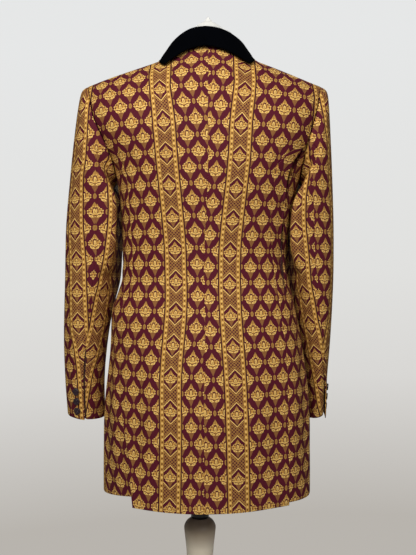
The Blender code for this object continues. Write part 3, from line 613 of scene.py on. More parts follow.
def sample(grid, first_axis, second_axis, first, second):
    """Value of a grid between its points; rows follow the second axis."""
    column = (first - first_axis[0]) / (first_axis[1] - first_axis[0])
    row = (second - second_axis[0]) / (second_axis[1] - second_axis[0])
    left = np.clip(np.floor(column).astype(int), 0, len(first_axis) - 2)
    low = np.clip(np.floor(row).astype(int), 0, len(second_axis) - 2)
    across = column - left
    up = row - low
    below = lerp(grid[low, left], grid[low, left + 1], across)
    above = lerp(grid[low + 1, left], grid[low + 1, left + 1], across)
    return lerp(below, above, up)


# Share by which the cloth between the borders and the centre back is drawn together
BACK_GATHER = (
    # level, left, right
    (0, 0.17, 0.06), (0.35, 0.16, 0.06), (0.5, 0.1, 0.06), (0.67, 0.03, 0.04), (0.85, 0.03, 0.03),
    (1, 0, 0),
)


def crossing(keys, values):
    """Value of each row where its key passes 0."""
    return np.array([np.interp(0, key, value) for key, value in zip(keys, values)])


def from_zero(steps, keys):
    """Distance along each row of steps from the point where the key is 0."""
    travelled = np.cumsum(np.pad(steps, ((0, 0), (1, 0))), axis=1)
    return travelled - crossing(np.broadcast_to(keys, travelled.shape), travelled)[:, None]


def nearest(values, value):
    return np.argmin(np.abs(values - value))


class BodyGrain:
    """Distances on one half of the body: round from the centre back, and up from the underarm."""

    def __init__(self, side):
        self.side = side
        points = body(side, TURNS, LEVELS[:, None])
        steps = np.diff(points, axis=1)
        steps[..., 1:] *= lerp(1, TOP_FLATTEN, within(FLATTEN_LEVELS, LEVELS))[:, None, None]
        self.rounds = from_zero(np.linalg.norm(steps, axis=-1), TURNS)
        rises = run_lengths(points, 0)[0]
        chest = nearest(LEVELS, 1)
        rises = rises - rises[chest]
        border = nearest(TURNS, BORDER_TURN)
        rises[:chest] = rises[:chest, border:border + 1]
        ease = nearest(LEVELS, EASE_LEVEL)
        rises[ease:] = lerp(rises[ease], rises[ease:], EASE_SHARE)
        neck = nearest(LEVELS, NECK_LEVEL)
        rises[neck:] += (rises[neck:] - rises[neck]) * NECK_CROWD * (1 - within(NECK_TURNS, TURNS))
        self.rises = rises - np.interp(BODY_ROW_Z[side], points[:, border, 2], rises[:, border])
        back = TURNS <= 0.5
        line = table_at(BACK_BORDER, points[:, back, 2])[COLUMN_OF[side]]
        self.border = crossing(side * points[:, back, 0] - line, self.rounds[:, back])

    def round_at(self, turn, level):
        return sample(self.rounds, TURNS, LEVELS, turn, level)

    def flat(self, across, turn, level):
        return np.stack((across, sample(self.rises, TURNS, LEVELS, turn, level)), -1)

    def back(self, turn, level):
        across = self.round_at(turn, level) - np.interp(level, LEVELS, self.border)
        gather = table_at(BACK_GATHER, level)[COLUMN_OF[self.side]]
        return self.flat(across + gather * np.minimum(0, across + BAND_EDGE / 1000), turn, level)

    def flank(self, turn, level):
        seam = self.round_at(back_seam_turn(self.side, level), level)
        return self.flat(self.round_at(turn, level) - seam - SIDE_BORDER, turn, level)

    def front(self, turn, level):
        centre = self.round_at(np.ones_like(turn), level)
        return self.flat(centre - self.round_at(turn, level) - FRONT_BORDER, turn, level)


# Share of the left sleeve's field that the seam takes up
LEFT_FIELD_EASE = (
    # z, share
    (1.04, 0), (1.08, 0.07), (1.13, 0.14), (1.18, 0.18), (1.25, 0),
)


class SleeveGrain:
    """Level distances round one sleeve from its outer line, at every height."""

    def __init__(self, side):
        self.side = side
        points = sleeve(side, AROUNDS, ALONGS[:, None])
        columns = [[np.interp(HEIGHTS, column[:, 2], column[:, axis]) for axis in (0, 1)]
                   for column in np.moveaxis(points, 1, 0)]
        self.curves = np.moveaxis(np.array(columns), 2, 0)
        self.rounds = from_zero(np.linalg.norm(np.diff(self.curves, axis=1), axis=-1), AROUNDS)

    def at(self, line_rows, offset, around, along):
        behind = (AROUNDS >= LINE_START) & (AROUNDS <= LINE_REACH)
        line = table_at(line_rows, HEIGHTS)[0][:, None]
        beyond = line - self.side * self.curves[:, behind, 0]
        beyond = np.maximum.accumulate(beyond, axis=1) + np.arange(behind.sum()) * 1e-9
        places = crossing(beyond, self.rounds[:, behind]) + np.maximum(0, -beyond[:, -1])
        z = sleeve(self.side, around, along)[..., 2]
        here = sample(self.rounds, AROUNDS, HEIGHTS, around, z)
        from_border = here - np.interp(z, HEIGHTS, places) - offset
        if self.side < 0:
            spare = np.maximum(0, np.abs(from_border) - BAND_EDGE / 1000)
            from_border = from_border - np.sign(from_border) * spare * table_at(LEFT_FIELD_EASE, z)[0]
        return np.stack((from_border, (z - SLEEVE_ROW_Z[self.side]) * SLEEVE_EASE), -1)


def add_object(name, data):
    item = bpy.data.objects.new(name, data)
    bpy.context.scene.collection.objects.link(item)
    return item


def add_mesh(name, points, faces, materials, grain=None, face_slots=None):
    """Smooth mesh object; grain is the cloth's own flat coordinate of every point."""
    mesh = bpy.data.meshes.new(name)
    mesh.from_pydata(points.tolist(), [], faces)
    for material in materials:
        mesh.materials.append(material)
    if face_slots is not None:
        mesh.polygons.foreach_set("material_index", face_slots)
    if grain is not None:
        layer = mesh.uv_layers.new(name="Grain")
        corners = np.zeros(len(mesh.loops), int)
        mesh.loops.foreach_get("vertex_index", corners)
        layer.data.foreach_set("uv", grain[corners].astype(np.float32).ravel())
    mesh.shade_smooth()
    mesh.set_sharp_from_angle(angle=math.radians(SHARP_ANGLE))
    mesh.validate()
    return add_object(name, mesh)


def shell(name, outer, inner, grain, materials, painted_shade_faces=None):
    """Closed thin sheet between two grids of points; hidden faces take the second material, as do the outer
    faces given in painted_shade_faces, which stand for painted shade.
    """
    rows, columns = outer.shape[:2]
    count = rows * columns
    index = np.arange(count).reshape(rows, columns)
    quads = np.stack((index[:-1, :-1], index[:-1, 1:], index[1:, 1:], index[1:, :-1]), -1).reshape(-1, 4)
    hidden = quads[:, ::-1] + count
    border = np.concatenate((index[0, :-1], index[:-1, -1], index[-1, :0:-1], index[:0:-1, 0]))
    after = np.roll(border, -1)
    rim = np.stack((after, border, border + count, after + count), -1)
    faces = np.concatenate((quads, hidden, rim))
    facing = np.cross(outer[0, 1] - outer[0, 0], outer[1, 0] - outer[0, 0])
    if np.dot(facing, outer[0, 0] - inner[0, 0]) < 0:
        faces = faces[:, ::-1]
    slots = np.zeros(len(faces), np.int32)
    slots[len(quads):len(quads) + len(hidden)] = 1
    # Outer faces marked in painted_shade_faces take the dark second material as painted shade
    if painted_shade_faces is not None:
        slots[:len(quads)] = painted_shade_faces[:-1, :-1].ravel()
    points = np.concatenate((outer.reshape(-1, 3), inner.reshape(-1, 3))) + GARMENT_SHIFT
    flat = np.concatenate((grain.reshape(-1, 2), grain.reshape(-1, 2)))
    return add_mesh(name, points, faces.tolist(), materials, flat, slots)


def crease_height(across, up, rows):
    """Height of soft troughs and ridges, each along its own slightly bowed line."""
    height = np.zeros(np.broadcast(across, up).shape)
    for start_across, start_up, end_across, end_up, width, depth, bow in rows:
        run = end_across - start_across
        rise = end_up - start_up
        length = math.hypot(run, rise)
        share = ((across - start_across) * run + (up - start_up) * rise) / length ** 2
        aside = ((across - start_across) * rise - (up - start_up) * run) / length
        aside = aside - bow * np.sin(math.pi * np.clip(share, 0, 1))
        height += depth * np.exp(-(aside / width) ** 2) * np.exp(-((share - 0.5) / CREASE_HALF) ** 4)
    return height


BACK_CREASES = {
    # from the centre back: start_across, start_height, end_across, end_height, width, depth, bow
    -1: metres((
        (150, 1235, 118, 1165, 9, -2, 3), (140, 1255, 95, 1205, 11, -1.2, 2),
        (128, 1055, 85, 1035, 7, -0.9, 2), (132, 1012, 78, 1004, 9, -1.2, -3),
        (120, 900, 128, 660, 14, -3.2, 4), (88, 845, 98, 625, 12, 2, -3), (35, 800, 30, 622, 15, 1.2, 3),
    )),
    1: metres((
        (140, 1245, 110, 1180, 9, -1.7, 3), (132, 1262, 90, 1215, 10, -1, 2),
        (110, 1048, 70, 1032, 8, -1.1, 2), (114, 1006, 60, 1000, 8, -0.8, -2),
        (118, 880, 130, 650, 13, -2.6, -3), (80, 820, 90, 622, 12, 1.8, 3),
    )),
}
SIDE_CREASES = {
    -1: metres((
        (205, 940, 215, 640, 14, -4, 4), (180, 860, 172, 632, 10, 2.2, 2),
        (250, 900, 262, 630, 14, -3, -4), (160, 1048, 250, 1030, 8, -1.2, 4),
        (165, 1010, 235, 1000, 10, -1.4, -3),
    )),
    1: metres((
        (195, 920, 205, 632, 14, -3.6, -3), (168, 840, 164, 630, 10, 2, 2),
        (245, 930, 255, 632, 14, -3, 4), (140, 1040, 235, 1028, 9, -1.3, 3),
        (145, 1000, 220, 992, 8, -1, -3),
    )),
}
FRONT_CREASES = {
    -1: metres((
        (330, 1050, 420, 1020, 10, -1.4, 4), (335, 1005, 400, 985, 9, -1, -3),
        (380, 860, 392, 640, 13, -2.4, 4),
    )),
    1: metres((
        (325, 1045, 430, 1022, 10, -1.4, 3), (330, 998, 410, 990, 9, -1, -3),
        (370, 880, 384, 640, 13, -2.2, -4),
    )),
}
SLEEVE_CREASES = {
    # from the outer line and the armhole
    -1: metres((
        (50, 30, 48, 105, 8, -1.6, 2), (88, 55, 78, 150, 9, -2, 3), (112, 225, 62, 275, 10, -1.6, 4),
        (140, 330, 68, 350, 9, -3, 4), (136, 362, 80, 398, 10, -1.8, -3),
        (-50, 290, 10, 320, 10, -1.4, 3), (30, 400, 36, 560, 12, -1.4, 3),
    )),
    1: metres((
        (52, 30, 50, 110, 8, -1.6, -2), (90, 60, 84, 155, 9, -1.8, 3), (120, 235, 70, 270, 10, -1.4, 4),
        (138, 325, 74, 352, 9, -2.2, -4), (132, 368, 86, 392, 9, -1.6, 3),
        (-48, 300, 12, 322, 10, -1.2, 3),
    )),
}


def cloth(part, side, surface, turn, level, height, grain, materials, drop=0, painted_shade_faces=None):
    """Piece of brocade on a surface, with its edges turned down and the given height over the form."""
    node = part + "_" + SIDES[side]
    points = surface(turn, level) - UP * np.asarray(drop)[..., None]
    outward = normals(surface, turn, level) * side
    outer = points + outward * (height - edge_dip(points))[..., None]
    inner = points + outward * (height - CLOTH)[..., None]
    piece = shell("cloth_" + node, outer, inner, grain, materials, painted_shade_faces)
    finish_piece(piece, node)


def finish_piece(piece, node):
    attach(piece, "root")
    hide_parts(node)


def panel_levels(corner, low_count, high_count):
    """Levels of a panel's rows, closer at the hem and towards the shoulder."""
    ends = EDGE_STEPS / (CHEST_Z - HEM_Z)
    lower = np.linspace(0, corner, low_count)
    ease = np.sin(0.5 * math.pi * np.linspace(0, 1, high_count))
    upper = lerp(corner, 2 - SHOULDER_GAP_LEVEL, ease)
    return np.concatenate((ends[:-1], lower[lower > ends[-1]], upper[1:]))


def body_creases(side, grain, turn, level, rows):
    return crease_height(grain.round_at(turn, level), body(side, turn, level)[..., 2], rows[side])


def back_panel(side, grain, materials):
    surface = partial(body, side)
    level = panel_levels(1 + BACK_SEAM_RISE, *BACK_ROWS)[:, None]
    shares = close_ends("back")
    centre = shifted(surface, np.zeros_like(level), level, 0.5 * SEAM_GAP)
    edge = shifted(surface, back_edge_turn(side, level), level, -0.5 * SEAM_GAP)
    turn = lerp(centre, edge, shares)
    level = np.broadcast_to(level, turn.shape)
    flare = VENT_FLARE[side] * smoothstep(1 - level / VENT_LEVEL) * shares ** VENT_CURVE
    height = flare + body_creases(side, grain, turn, level, BACK_CREASES)
    cloth("back", side, surface, turn, level, height, grain.back(turn, level), materials)


def side_panel(side, grain, materials):
    surface = partial(body, side)
    shares = close_ends("side")
    tops = np.full(len(shares), 1 + BACK_SEAM_RISE)
    for _ in range(SIDE_ROUNDS):
        turn = lerp(back_seam_turn(side, tops), FRONT_SEAM_TURN, shares)
        tops = lerp(tops, 1 + armhole_rise(turn), 0.5)
    tops[0] = 1 + BACK_SEAM_RISE
    raised = VENT_RAISE[side] / (CHEST_Z - HEM_Z) * (1 - shares) ** 2
    level = lerp(raised, tops, close_ends("side_up")[:, None])
    turn = lerp(back_seam_turn(side, level), FRONT_SEAM_TURN, shares)
    turn = shifted(surface, turn, level, SEAM_GAP * (0.5 - shares))
    height = body_creases(side, grain, turn, level, SIDE_CREASES)
    height = height * smoothstep(grain.round_at(turn, level) / SIDE_CREASE_FADE)
    cloth("side", side, surface, turn, level, height, grain.flank(turn, level), materials)


def front_panel(side, grain, materials):
    surface = partial(body, side)
    level = panel_levels(1 + float(armhole_rise(FRONT_SEAM_TURN)), *FRONT_ROWS)[:, None]
    outer = shifted(surface, front_side_turn(level), level, 0.5 * SEAM_GAP)
    turn = lerp(outer, front_edge_turn(side, level), close_ends("front"))
    level = np.broadcast_to(level, turn.shape)
    height = lap_lift(side, turn, level) + body_creases(side, grain, turn, level, FRONT_CREASES)
    cloth("front", side, surface, turn, level, height, grain.front(turn, level), materials)


def lapel_panel(side, grain, materials):
    surface = partial(body, side)
    rise = close_ends("lapel_up")[:, None]
    share = close_ends("lapel")
    width = table_at(LAPEL_WIDTH, rise)[0]
    top = lerp(LAPEL_NECK_LEVEL, LAPEL_TIP_LEVEL, share)
    level = lerp(LAPEL_FOOT_LEVEL[side], top, rise)
    turn = shifted(surface, front_edge_turn(side, level), level, -width * share)
    height = lap_lift(side, turn, level) + LAY_GAP + LAP
    cloth("lapel", side, surface, turn, level, height, grain.front(turn, level), materials)


def sleeve_panel(part, side, grain, materials):
    surface = partial(sleeve, side)
    along = close_ends("sleeve_along")[:, None]
    seam = table_at(SLEEVE_BACK_SEAM[side], along)[0]
    start_along, opening, top_lift, top_drop = CUFF_VENT[side]
    vent = smoothstep((along - start_along) / (1 - start_along))
    opened = opening * smoothstep((along - start_along) / OPENING_RUN)
    under = UNDERLAP * smoothstep((along - start_along) / UNDERLAP_RUN)
    if part == "sleeve_top":
        first = shifted(surface, SLEEVE_FRONT_SEAM - 1, along, 0.5 * SEAM_GAP)
        last = shifted(surface, seam, along, -0.5 * SEAM_GAP - opened)
    else:
        first = shifted(surface, seam, along, 0.5 * SEAM_GAP - opened - under)
        last = shifted(surface, SLEEVE_FRONT_SEAM, along, -0.5 * SEAM_GAP)
    around = lerp(first, last, close_ends(part))
    along = np.broadcast_to(along, around.shape)
    from_first, from_last = run_lengths(surface(around, along), 1)
    height = crease_height(around * SLEEVE_GIRTH, along * SLEEVE_LENGTH, SLEEVE_CREASES[side])
    if part == "sleeve_top":
        stand_off = np.exp(-(from_last / CUFF_VENT_REACH) ** 2)
        height = height + top_lift * vent * stand_off
        drop = top_drop * vent ** 4 * stand_off
        painted_shade_faces = np.zeros(around.shape, bool)
        flat = grain.at(TOP_SLEEVE_LINE[side], -LINE_TO_BORDER, around, along)
    else:
        beneath = 1 - smoothstep((from_first - opened - under) / UNDERLAP_EDGE)
        height = height - UNDERLAP_SINK * under / UNDERLAP * beneath
        drop = 0
        # The underlap's face beneath the top sleeve takes the dark wrong-side cloth: painted shade in the
        # vent's slit
        painted_shade_faces = beneath * under > 0.5 * UNDERLAP
        flat = grain.at(UNDER_SLEEVE_LINE[side], LINE_TO_BORDER, around, along)
    cloth(part, side, surface, around, along, height, flat, materials, drop, painted_shade_faces)


def collar_piece(materials):
    across = close_ends("collar")
    rows = []
    for along in close_ends("collar_along") * 2 - 1:
        side = 1 if along >= 0 else -1

        def half(cross, length):
            return collar_face(side, np.clip(length, 0, 1), cross)
        length = np.full_like(across, abs(along))
        rows.append((half(across, length), normals(half, across, length) * side))
    points = np.array([row[0] for row in rows])
    outward = np.array([row[1] for row in rows])
    outer = points + outward * (VELVET - edge_dip(points, VELVET_EDGE, VELVET_DIP))[..., None]
    grain = np.stack((run_lengths(points, 0)[0], run_lengths(points, 1)[0]), -1)
    return shell("velvet_collar", outer, points, grain, materials)


def turned(name, rings, materials, ends=None):
    """Closed skin through rings of points, ending in two points or in two flat faces."""
    count, sides = rings.shape[:2]
    index = np.arange(count * sides).reshape(count, sides)
    after = np.roll(index, -1, axis=1)
    points = rings.reshape(-1, 3)
    faces = np.stack((index[:-1], index[1:], after[1:], after[:-1]), -1).reshape(-1, 4).tolist()
    if ends is None:
        faces += [index[0].tolist(), index[-1, ::-1].tolist()]
    else:
        tip = np.full(sides, len(points))
        faces += np.stack((tip, index[0], after[0]), -1).tolist()
        faces += np.stack((tip + 1, after[-1], index[-1]), -1).tolist()
        points = np.concatenate((points, np.array(ends)))
    return add_mesh(name, points, faces, materials)


def lathe(name, profile, materials, steps=1, centre=(0, 0)):
    """Solid of revolution from a profile that starts and ends on its axis, curved between its points."""
    table = [(index, *row) for index, row in enumerate(profile[1:-1])]
    keys = np.linspace(0, len(table) - 1, (len(table) - 1) * steps + 1)
    radius, z = table_at(table, keys)[..., None]
    x = centre[0] + radius * np.cos(TURNED_ANGLES)
    y = centre[1] + radius * np.sin(TURNED_ANGLES)
    rings = np.stack((x, y, np.broadcast_to(z, x.shape)), -1)
    return turned(name, rings, materials, [(*centre, profile[end][1]) for end in (0, -1)])


def dress_form(materials):
    rows = list(FORM_SECTIONS)
    slope = SHOULDER_POINT - NECK_POINT
    for half_width, half_depth in FORM_SHOULDER:
        z = NECK_POINT[2] + slope[2] * (half_width - NECK_POINT[0]) / slope[0] - FORM_SHOULDER_DROP
        rows.append((z, half_width, half_depth, NECK_POINT[1]))
    foot = rows[-1][0]
    for rise, share in NECK_SECTIONS:
        rows.append((lerp(foot, NECK_TOP_Z, rise), NECK_RADIUS * share, NECK_RADIUS * share, NECK_CENTRE_Y))
    keys = np.arange(len(rows))
    fine = np.linspace(keys[-1], 0, keys[-1] * FORM_STEPS + 1)
    columns = np.array(rows).T
    z, half_width, half_depth, centre_y = (np.interp(fine, keys, column)[:, None] for column in columns)
    x = half_width * np.cos(TURNED_ANGLES) + GARMENT_X
    y = centre_y + half_depth * np.sin(TURNED_ANGLES)
    return turned("form_body", np.stack((x, y, np.broadcast_to(z, x.shape)), -1), materials)


def button_piece(name, seat, normal, radius, materials):
    """Round button with a raised rim, a dished face and four holes."""
    axis = unit(normal)
    across = unit(np.cross(axis, UP))
    spokes = BUTTON_COSINES * across + BUTTON_SINES * np.cross(across, axis)
    shares = np.linspace(1, 0, BUTTON_RINGS)[:-1, None, None]
    rim = np.exp(-((shares - BUTTON_RIM) / BUTTON_RIM_WIDTH) ** 2)
    edge = np.maximum(0, (shares - BUTTON_EDGE) / (1 - BUTTON_EDGE)) ** 2
    out = shares * (radius - 0.05 * BUTTON_BEVEL)
    from_hole = np.hypot(np.abs(out * BUTTON_COSINES) - HOLE_PLACE * radius,
                         np.abs(out * BUTTON_SINES) - HOLE_PLACE * radius)
    hole = 1 - within(HOLE_EDGE, from_hole / radius)
    sunk = BUTTON_DISH * (1 - rim) + BUTTON_EDGE_DROP * edge + HOLE_DEPTH * hole
    face = BUTTON_HEIGHT - BUTTON_BEVEL * sunk
    wall = np.array(((radius - BUTTON_BEVEL, 0), (radius - 0.3 * BUTTON_BEVEL, 0.3 * BUTTON_BEVEL),
                     (radius, BUTTON_BEVEL), (radius, BUTTON_HEIGHT - BUTTON_BEVEL)))[..., None, None]
    out = np.concatenate((wall[:, 0], out))
    height = np.concatenate((np.broadcast_to(wall[:, 1], (len(wall), *face.shape[1:])), face))
    seat = seat + GARMENT_SHIFT + axis * SEAM_GAP
    middle = seat + axis * (BUTTON_HEIGHT - BUTTON_DISH * BUTTON_BEVEL)
    return turned(name, seat + axis * height + spokes * out, materials, [seat, middle])


# Materials
def sign(operation, swapped=False):
    """Python sign that adds a node for an operation."""
    def apply(value, *others):
        return work(operation, *others, value) if swapped else work(operation, value, *others)
    return apply


class Value:
    """Number in a material that Python's signs can work with; each sign adds a node."""
    __add__ = __radd__ = sign("ADD")
    __mul__ = __rmul__ = sign("MULTIPLY")
    __sub__ = sign("SUBTRACT")
    __rsub__ = sign("SUBTRACT", True)
    __truediv__ = sign("DIVIDE")
    __lt__ = sign("LESS_THAN")
    __gt__ = sign("GREATER_THAN")
    __abs__ = sign("ABSOLUTE")

    def __init__(self, tree, socket):
        self.tree = tree
        self.socket = socket


def plug(value, socket):
    if isinstance(value, Value):
        value.tree.links.new(value.socket, socket)
    else:
        socket.default_value = value


def add_node(tree, kind, **values):
    """New node with its values plugged in."""
    node = tree.nodes.new("ShaderNode" + kind)
    for name, value in values.items():
        plug(value, node.inputs[name])
    return node


def work(operation, *inputs):
    tree = next(value.tree for value in inputs if isinstance(value, Value))
    node = tree.nodes.new("ShaderNodeMath")
    node.operation = operation
    for value, socket in zip(inputs, node.inputs):
        plug(value, socket)
    return Value(tree, node.outputs[0])


def blend(factor, start, end):
    node = add_node(factor.tree, "Mix", Factor=factor, A=start, B=end)
    return Value(factor.tree, node.outputs["Result"])


def folded(value, span):
    return work("PINGPONG", value, span)


def wrapped(value, span):
    return work("WRAP", value, 0.5 * span, -0.5 * span)


def threads(value, pitch):
    return (work("FLOOR", value / pitch) + 0.5) * pitch


def smaller(first, second):
    return work("MINIMUM", first, second)


def larger(first, second):
    return work("MAXIMUM", first, second)


def square(value):
    return value * value


def oval(x, y, centre_x, centre_y, half_width, half_height):
    return square((x - centre_x) / half_width) + square((y - centre_y) / half_height)


# The cloth's repeat, in millimetres
REPEAT_WIDTH = 145
REPEAT_HEIGHT = 54.7
BORDER_HALF = 20.45
COLUMN = (REPEAT_WIDTH - 2 * BORDER_HALF) / 3
THREAD_ACROSS = 0.55
THREAD_UP = 0.45
PANEL_HALF = 11.3
BAND_EDGE = 18.15
BAND_MIDDLE = 14.6
BAND_DOTS = 6
BORDER_BUD_DROP = 30.4
BORDER_BUD_WIDTH = 0.9
BORDER_BUD_HEIGHT = 0.8
DIAMOND = 20.2
HATCH = 2.9
GROUND = 0.09


def layered(tone, *layers):
    """Tone with layers laid over it in turn; each has where it shows and its own tone."""
    for where, over in layers:
        tone = blend(where, tone, over)
    return tone


def bud_tone(x, y):
    """Bud on a stem below a small spire; x is the distance from its middle, y goes up."""
    stem = (x < (y + 21.5) * 0.46) * (y < -5)
    spire = (x < smaller((17.5 - y) * 0.54, 4.6)) * (y > 5)
    angle = work("ARCTAN2", y, x)
    scallop = work("COSINE", angle * 16)
    petals = work("COSINE", angle * 9)
    reach = work("SQRT", oval(x, y, 0, 0.2, 11.6, 9.1))
    reach = larger(reach, larger((x * 0.72 - y) / 11.6, (x * 0.8 + y) / 12.2)) + 0.05 * scallop
    leaf = oval(x, y, 0, 1.2, 2.3, 4.6)
    vein = (x < 0.5) * (abs(y) < 2.6)
    arm = (abs(y + 4.4 - 0.4 * x) < 0.9) * (x > 1) * (x < 8)
    arm_shade = (abs(y + 6 - 0.34 * x) < 0.6) * (x > 1.4) * (x < 7)
    lobe = oval(x, y - 0.2 * (x - 5), 5, -7.2, 3.7, 2)
    return layered(
        GROUND, (stem, 0.39), (spire, blend(x < 1.2, 0.66, 0.53)),
        (reach < 1, blend(scallop < 0, 0.6, 0.96)), (reach < 0.84, blend(petals > -0.2, 0.8, 0.08)),
        (reach < 0.68, 0.66), ((leaf < 2.3) * (y > -2.4), 0.1), (leaf < 1, 0.97), (vein, 0.5),
        (arm, 1), (arm_shade, 0.1), (lobe < 1, 1), (lobe < 0.2, 0.62))


def border_tone(s, v):
    """Border stripe: a bud in a diamond of chevrons between two dotted bands."""
    y = wrapped(v + BORDER_BUD_DROP, REPEAT_HEIGHT)
    inside = DIAMOND - s - abs(y)
    hatch = folded(s + v, HATCH) * folded(s - v, HATCH) > 1.95
    step = REPEAT_HEIGHT / BAND_DOTS
    dot = oval(s, wrapped(v, step), BAND_MIDDLE, 0, 1.3, 1.7) < 1
    glint = oval(s, wrapped(v + 0.5 * step, step), BAND_MIDDLE, 0, 1.8, 2.2) < 1
    band = layered(0.66, (glint, 0.92), (dot, 0.3), (s < PANEL_HALF + 1, 0.46))
    return layered(
        bud_tone(s / BORDER_BUD_WIDTH, y / BORDER_BUD_HEIGHT), (inside < 3.2, 0.05), (inside < 1.1, 0.95),
        (inside < -1.1, 0.12), (inside < -2.8, 0.58), (inside < -4.2, blend(hatch, 0.47, 0.07)),
        (s > PANEL_HALF, band), (s > BAND_EDGE, 0))


def field_tone(s, v):
    """Half-drop rows of buds with small ovals between them."""
    far = folded(s - BORDER_HALF, 0.5 * COLUMN)
    near = 0.5 * COLUMN - far
    level = wrapped(v, REPEAT_HEIGHT)
    dropped = wrapped(v + 0.5 * REPEAT_HEIGHT, REPEAT_HEIGHT)
    first = near / (0.5 * COLUMN) + abs(level) / (0.5 * REPEAT_HEIGHT) < 1
    tone = bud_tone(blend(first, far, near), blend(first, dropped, level))
    dot = smaller(oval(far, level, 0, 0, 2.8, 4.7), oval(near, dropped, 0, 0, 2.8, 4.7))
    return blend(dot < 1, tone, blend(dot < 0.2, 0.54, 0.44))


def ramp(factor, stops):
    node = add_node(factor.tree, "ValToRGB", Fac=factor)
    elements = node.color_ramp.elements
    while len(elements) < len(stops):
        elements.new(0.5)
    for element, (place, colour) in zip(elements, stops):
        element.position = place
        element.color = colour + (1,)
    return Value(factor.tree, node.outputs["Color"])


def paint_colour(shader, factor, *stops):
    plug(ramp(factor, stops), shader.inputs["Base Color"])


def new_material(name, **values):
    """Material with its tree and its shader, whose sockets take the values."""
    material = bpy.data.materials.new(name)
    material.use_nodes = True
    shader = material.node_tree.nodes["Principled BSDF"]
    for socket, value in values.items():
        shader.inputs[socket.replace("_", " ")].default_value = value
    return material, material.node_tree, shader


def coordinates(tree, kind):
    return Value(tree, tree.nodes.new("ShaderNodeTexCoord").outputs[kind])


def parts(vector):
    node = add_node(vector.tree, "SeparateXYZ", Vector=vector)
    return [Value(vector.tree, output) for output in node.outputs]


def grain_coordinates(tree):
    """The cloth's flat coordinates in millimetres."""
    node = tree.nodes.new("ShaderNodeUVMap")
    node.uv_map = "Grain"
    u, v, _ = parts(Value(tree, node.outputs["UV"]))
    return u * 1000, v * 1000


def speckle(across, up):
    """Random number of every thread crossing."""
    pair = add_node(across.tree, "CombineXYZ", X=across, Y=up)
    node = add_node(across.tree, "TexWhiteNoise", Vector=Value(across.tree, pair.outputs[0]))
    node.noise_dimensions = "2D"
    return Value(across.tree, node.outputs["Value"])


def noise(tree, scale, detail=2):
    node = add_node(tree, "TexNoise", Scale=scale, Detail=detail, Vector=coordinates(tree, "Object"))
    return Value(tree, node.outputs["Fac"])


def bump(shader, height, distance, strength):
    node = add_node(height.tree, "Bump", Height=height, Distance=distance, Strength=strength)
    plug(Value(height.tree, node.outputs["Normal"]), shader.inputs["Normal"])


BROCADE_COLOURS = (
    # tone, colour
    (0, (0.046, 0.0032, 0.013)), (0.09, (0.1, 0.0078, 0.021)), (0.3, (0.165, 0.062, 0.011)),
    (0.4, (0.3, 0.127, 0.042)), (0.54, (0.415, 0.222, 0.048)), (0.72, (0.63, 0.318, 0.066)),
    (1, (0.96, 0.63, 0.185)),
)


def brocade():
    material, tree, shader = new_material("brocade_face", Specular_IOR_Level=0.15)
    u, v = grain_coordinates(tree)
    across = threads(u, THREAD_ACROSS)
    up = threads(v, THREAD_UP)
    s = folded(across, 0.5 * REPEAT_WIDTH)
    tone = blend(s < BORDER_HALF, field_tone(s, up), border_tone(s, up))
    speck = speckle(across, up) - 0.5
    paint_colour(shader, tone + speck * (0.02 + 0.2 * tone), *BROCADE_COLOURS)
    ribs = folded(u + v * 0.5, 0.5 * THREAD_ACROSS) * (1 / THREAD_ACROSS)
    floats = folded(v, 0.5 * THREAD_UP) * (1 / THREAD_UP)
    height = tone * 0.9 + blend(tone > 0.4, ribs * 0.5, floats * 0.5) + speck * 0.3
    bump(shader, height, 0.00022, 0.8)
    plug(0.78 - 0.22 * tone, shader.inputs["Roughness"])
    return material


def brocade_back():
    """Wrong side of the cloth: dark floats with thin gold flecks."""
    material, tree, shader = new_material("brocade_wrong_side", Roughness=0.85)
    u, v = grain_coordinates(tree)
    fleck = speckle(threads(u, 3.2), threads(v, 0.9))
    paint_colour(shader, fleck, (0, (0.03, 0.006, 0.01)), (0.8, (0.055, 0.012, 0.016)),
                 (1, (0.16, 0.08, 0.03)))
    bump(shader, fleck, 0.0002, 0.6)
    return material


def velvet():
    material, tree, shader = new_material(
        "black_velvet", Roughness=0.95, Specular_IOR_Level=0.01, Sheen_Weight=0.004,
        Sheen_Roughness=0.35, Sheen_Tint=(0.7, 0.8, 1, 1))
    pile = noise(tree, 900, 3)
    paint_colour(shader, pile * 0.6 + noise(tree, 22) * 0.4,
                 (0.3, (0.0006, 0.0008, 0.0014)), (0.75, (0.0018, 0.0022, 0.0034)))
    bump(shader, pile, 0.0006, 0.7)
    return material


def polished_button():
    material, tree, shader = new_material(
        "polished_button", Roughness=0.28, Coat_Weight=0.4, Coat_Roughness=0.12)
    paint_colour(shader, noise(tree, 260, 3), (0.3, (0.012, 0.006, 0.009)), (0.7, (0.04, 0.018, 0.028)))
    return material


def form_cover():
    material, tree, shader = new_material("white_jersey", Roughness=0.8)
    paint_colour(shader, noise(tree, 9), (0.25, (0.88, 0.88, 0.84)), (0.75, (0.93, 0.93, 0.9)))
    bump(shader, noise(tree, 1400), 0.0004, 0.4)
    return material


def white_paint():
    material, tree, shader = new_material("satin_white_paint")
    drift = noise(tree, 14, 3)
    z = parts(coordinates(tree, "Object"))[2]
    # Painted shade: the colour darkens towards the pole's top and is dark on the rod, standing in for the
    # shade under the skirt; the drift is the paint's own uneven tone
    paint_colour(shader, (POLE_TOP_Z - z) / POLE_PAINTED_SHADE_RUN + 0.2 * drift - 0.1,
                 (0.1, (0.19, 0.13, 0.09)), (0.45, (0.52, 0.41, 0.29)), (0.95, (0.93, 0.83, 0.66)))
    bump(shader, noise(tree, 320), 0.0002, 0.25)
    plug(0.34 + 0.14 * drift, shader.inputs["Roughness"])
    return material


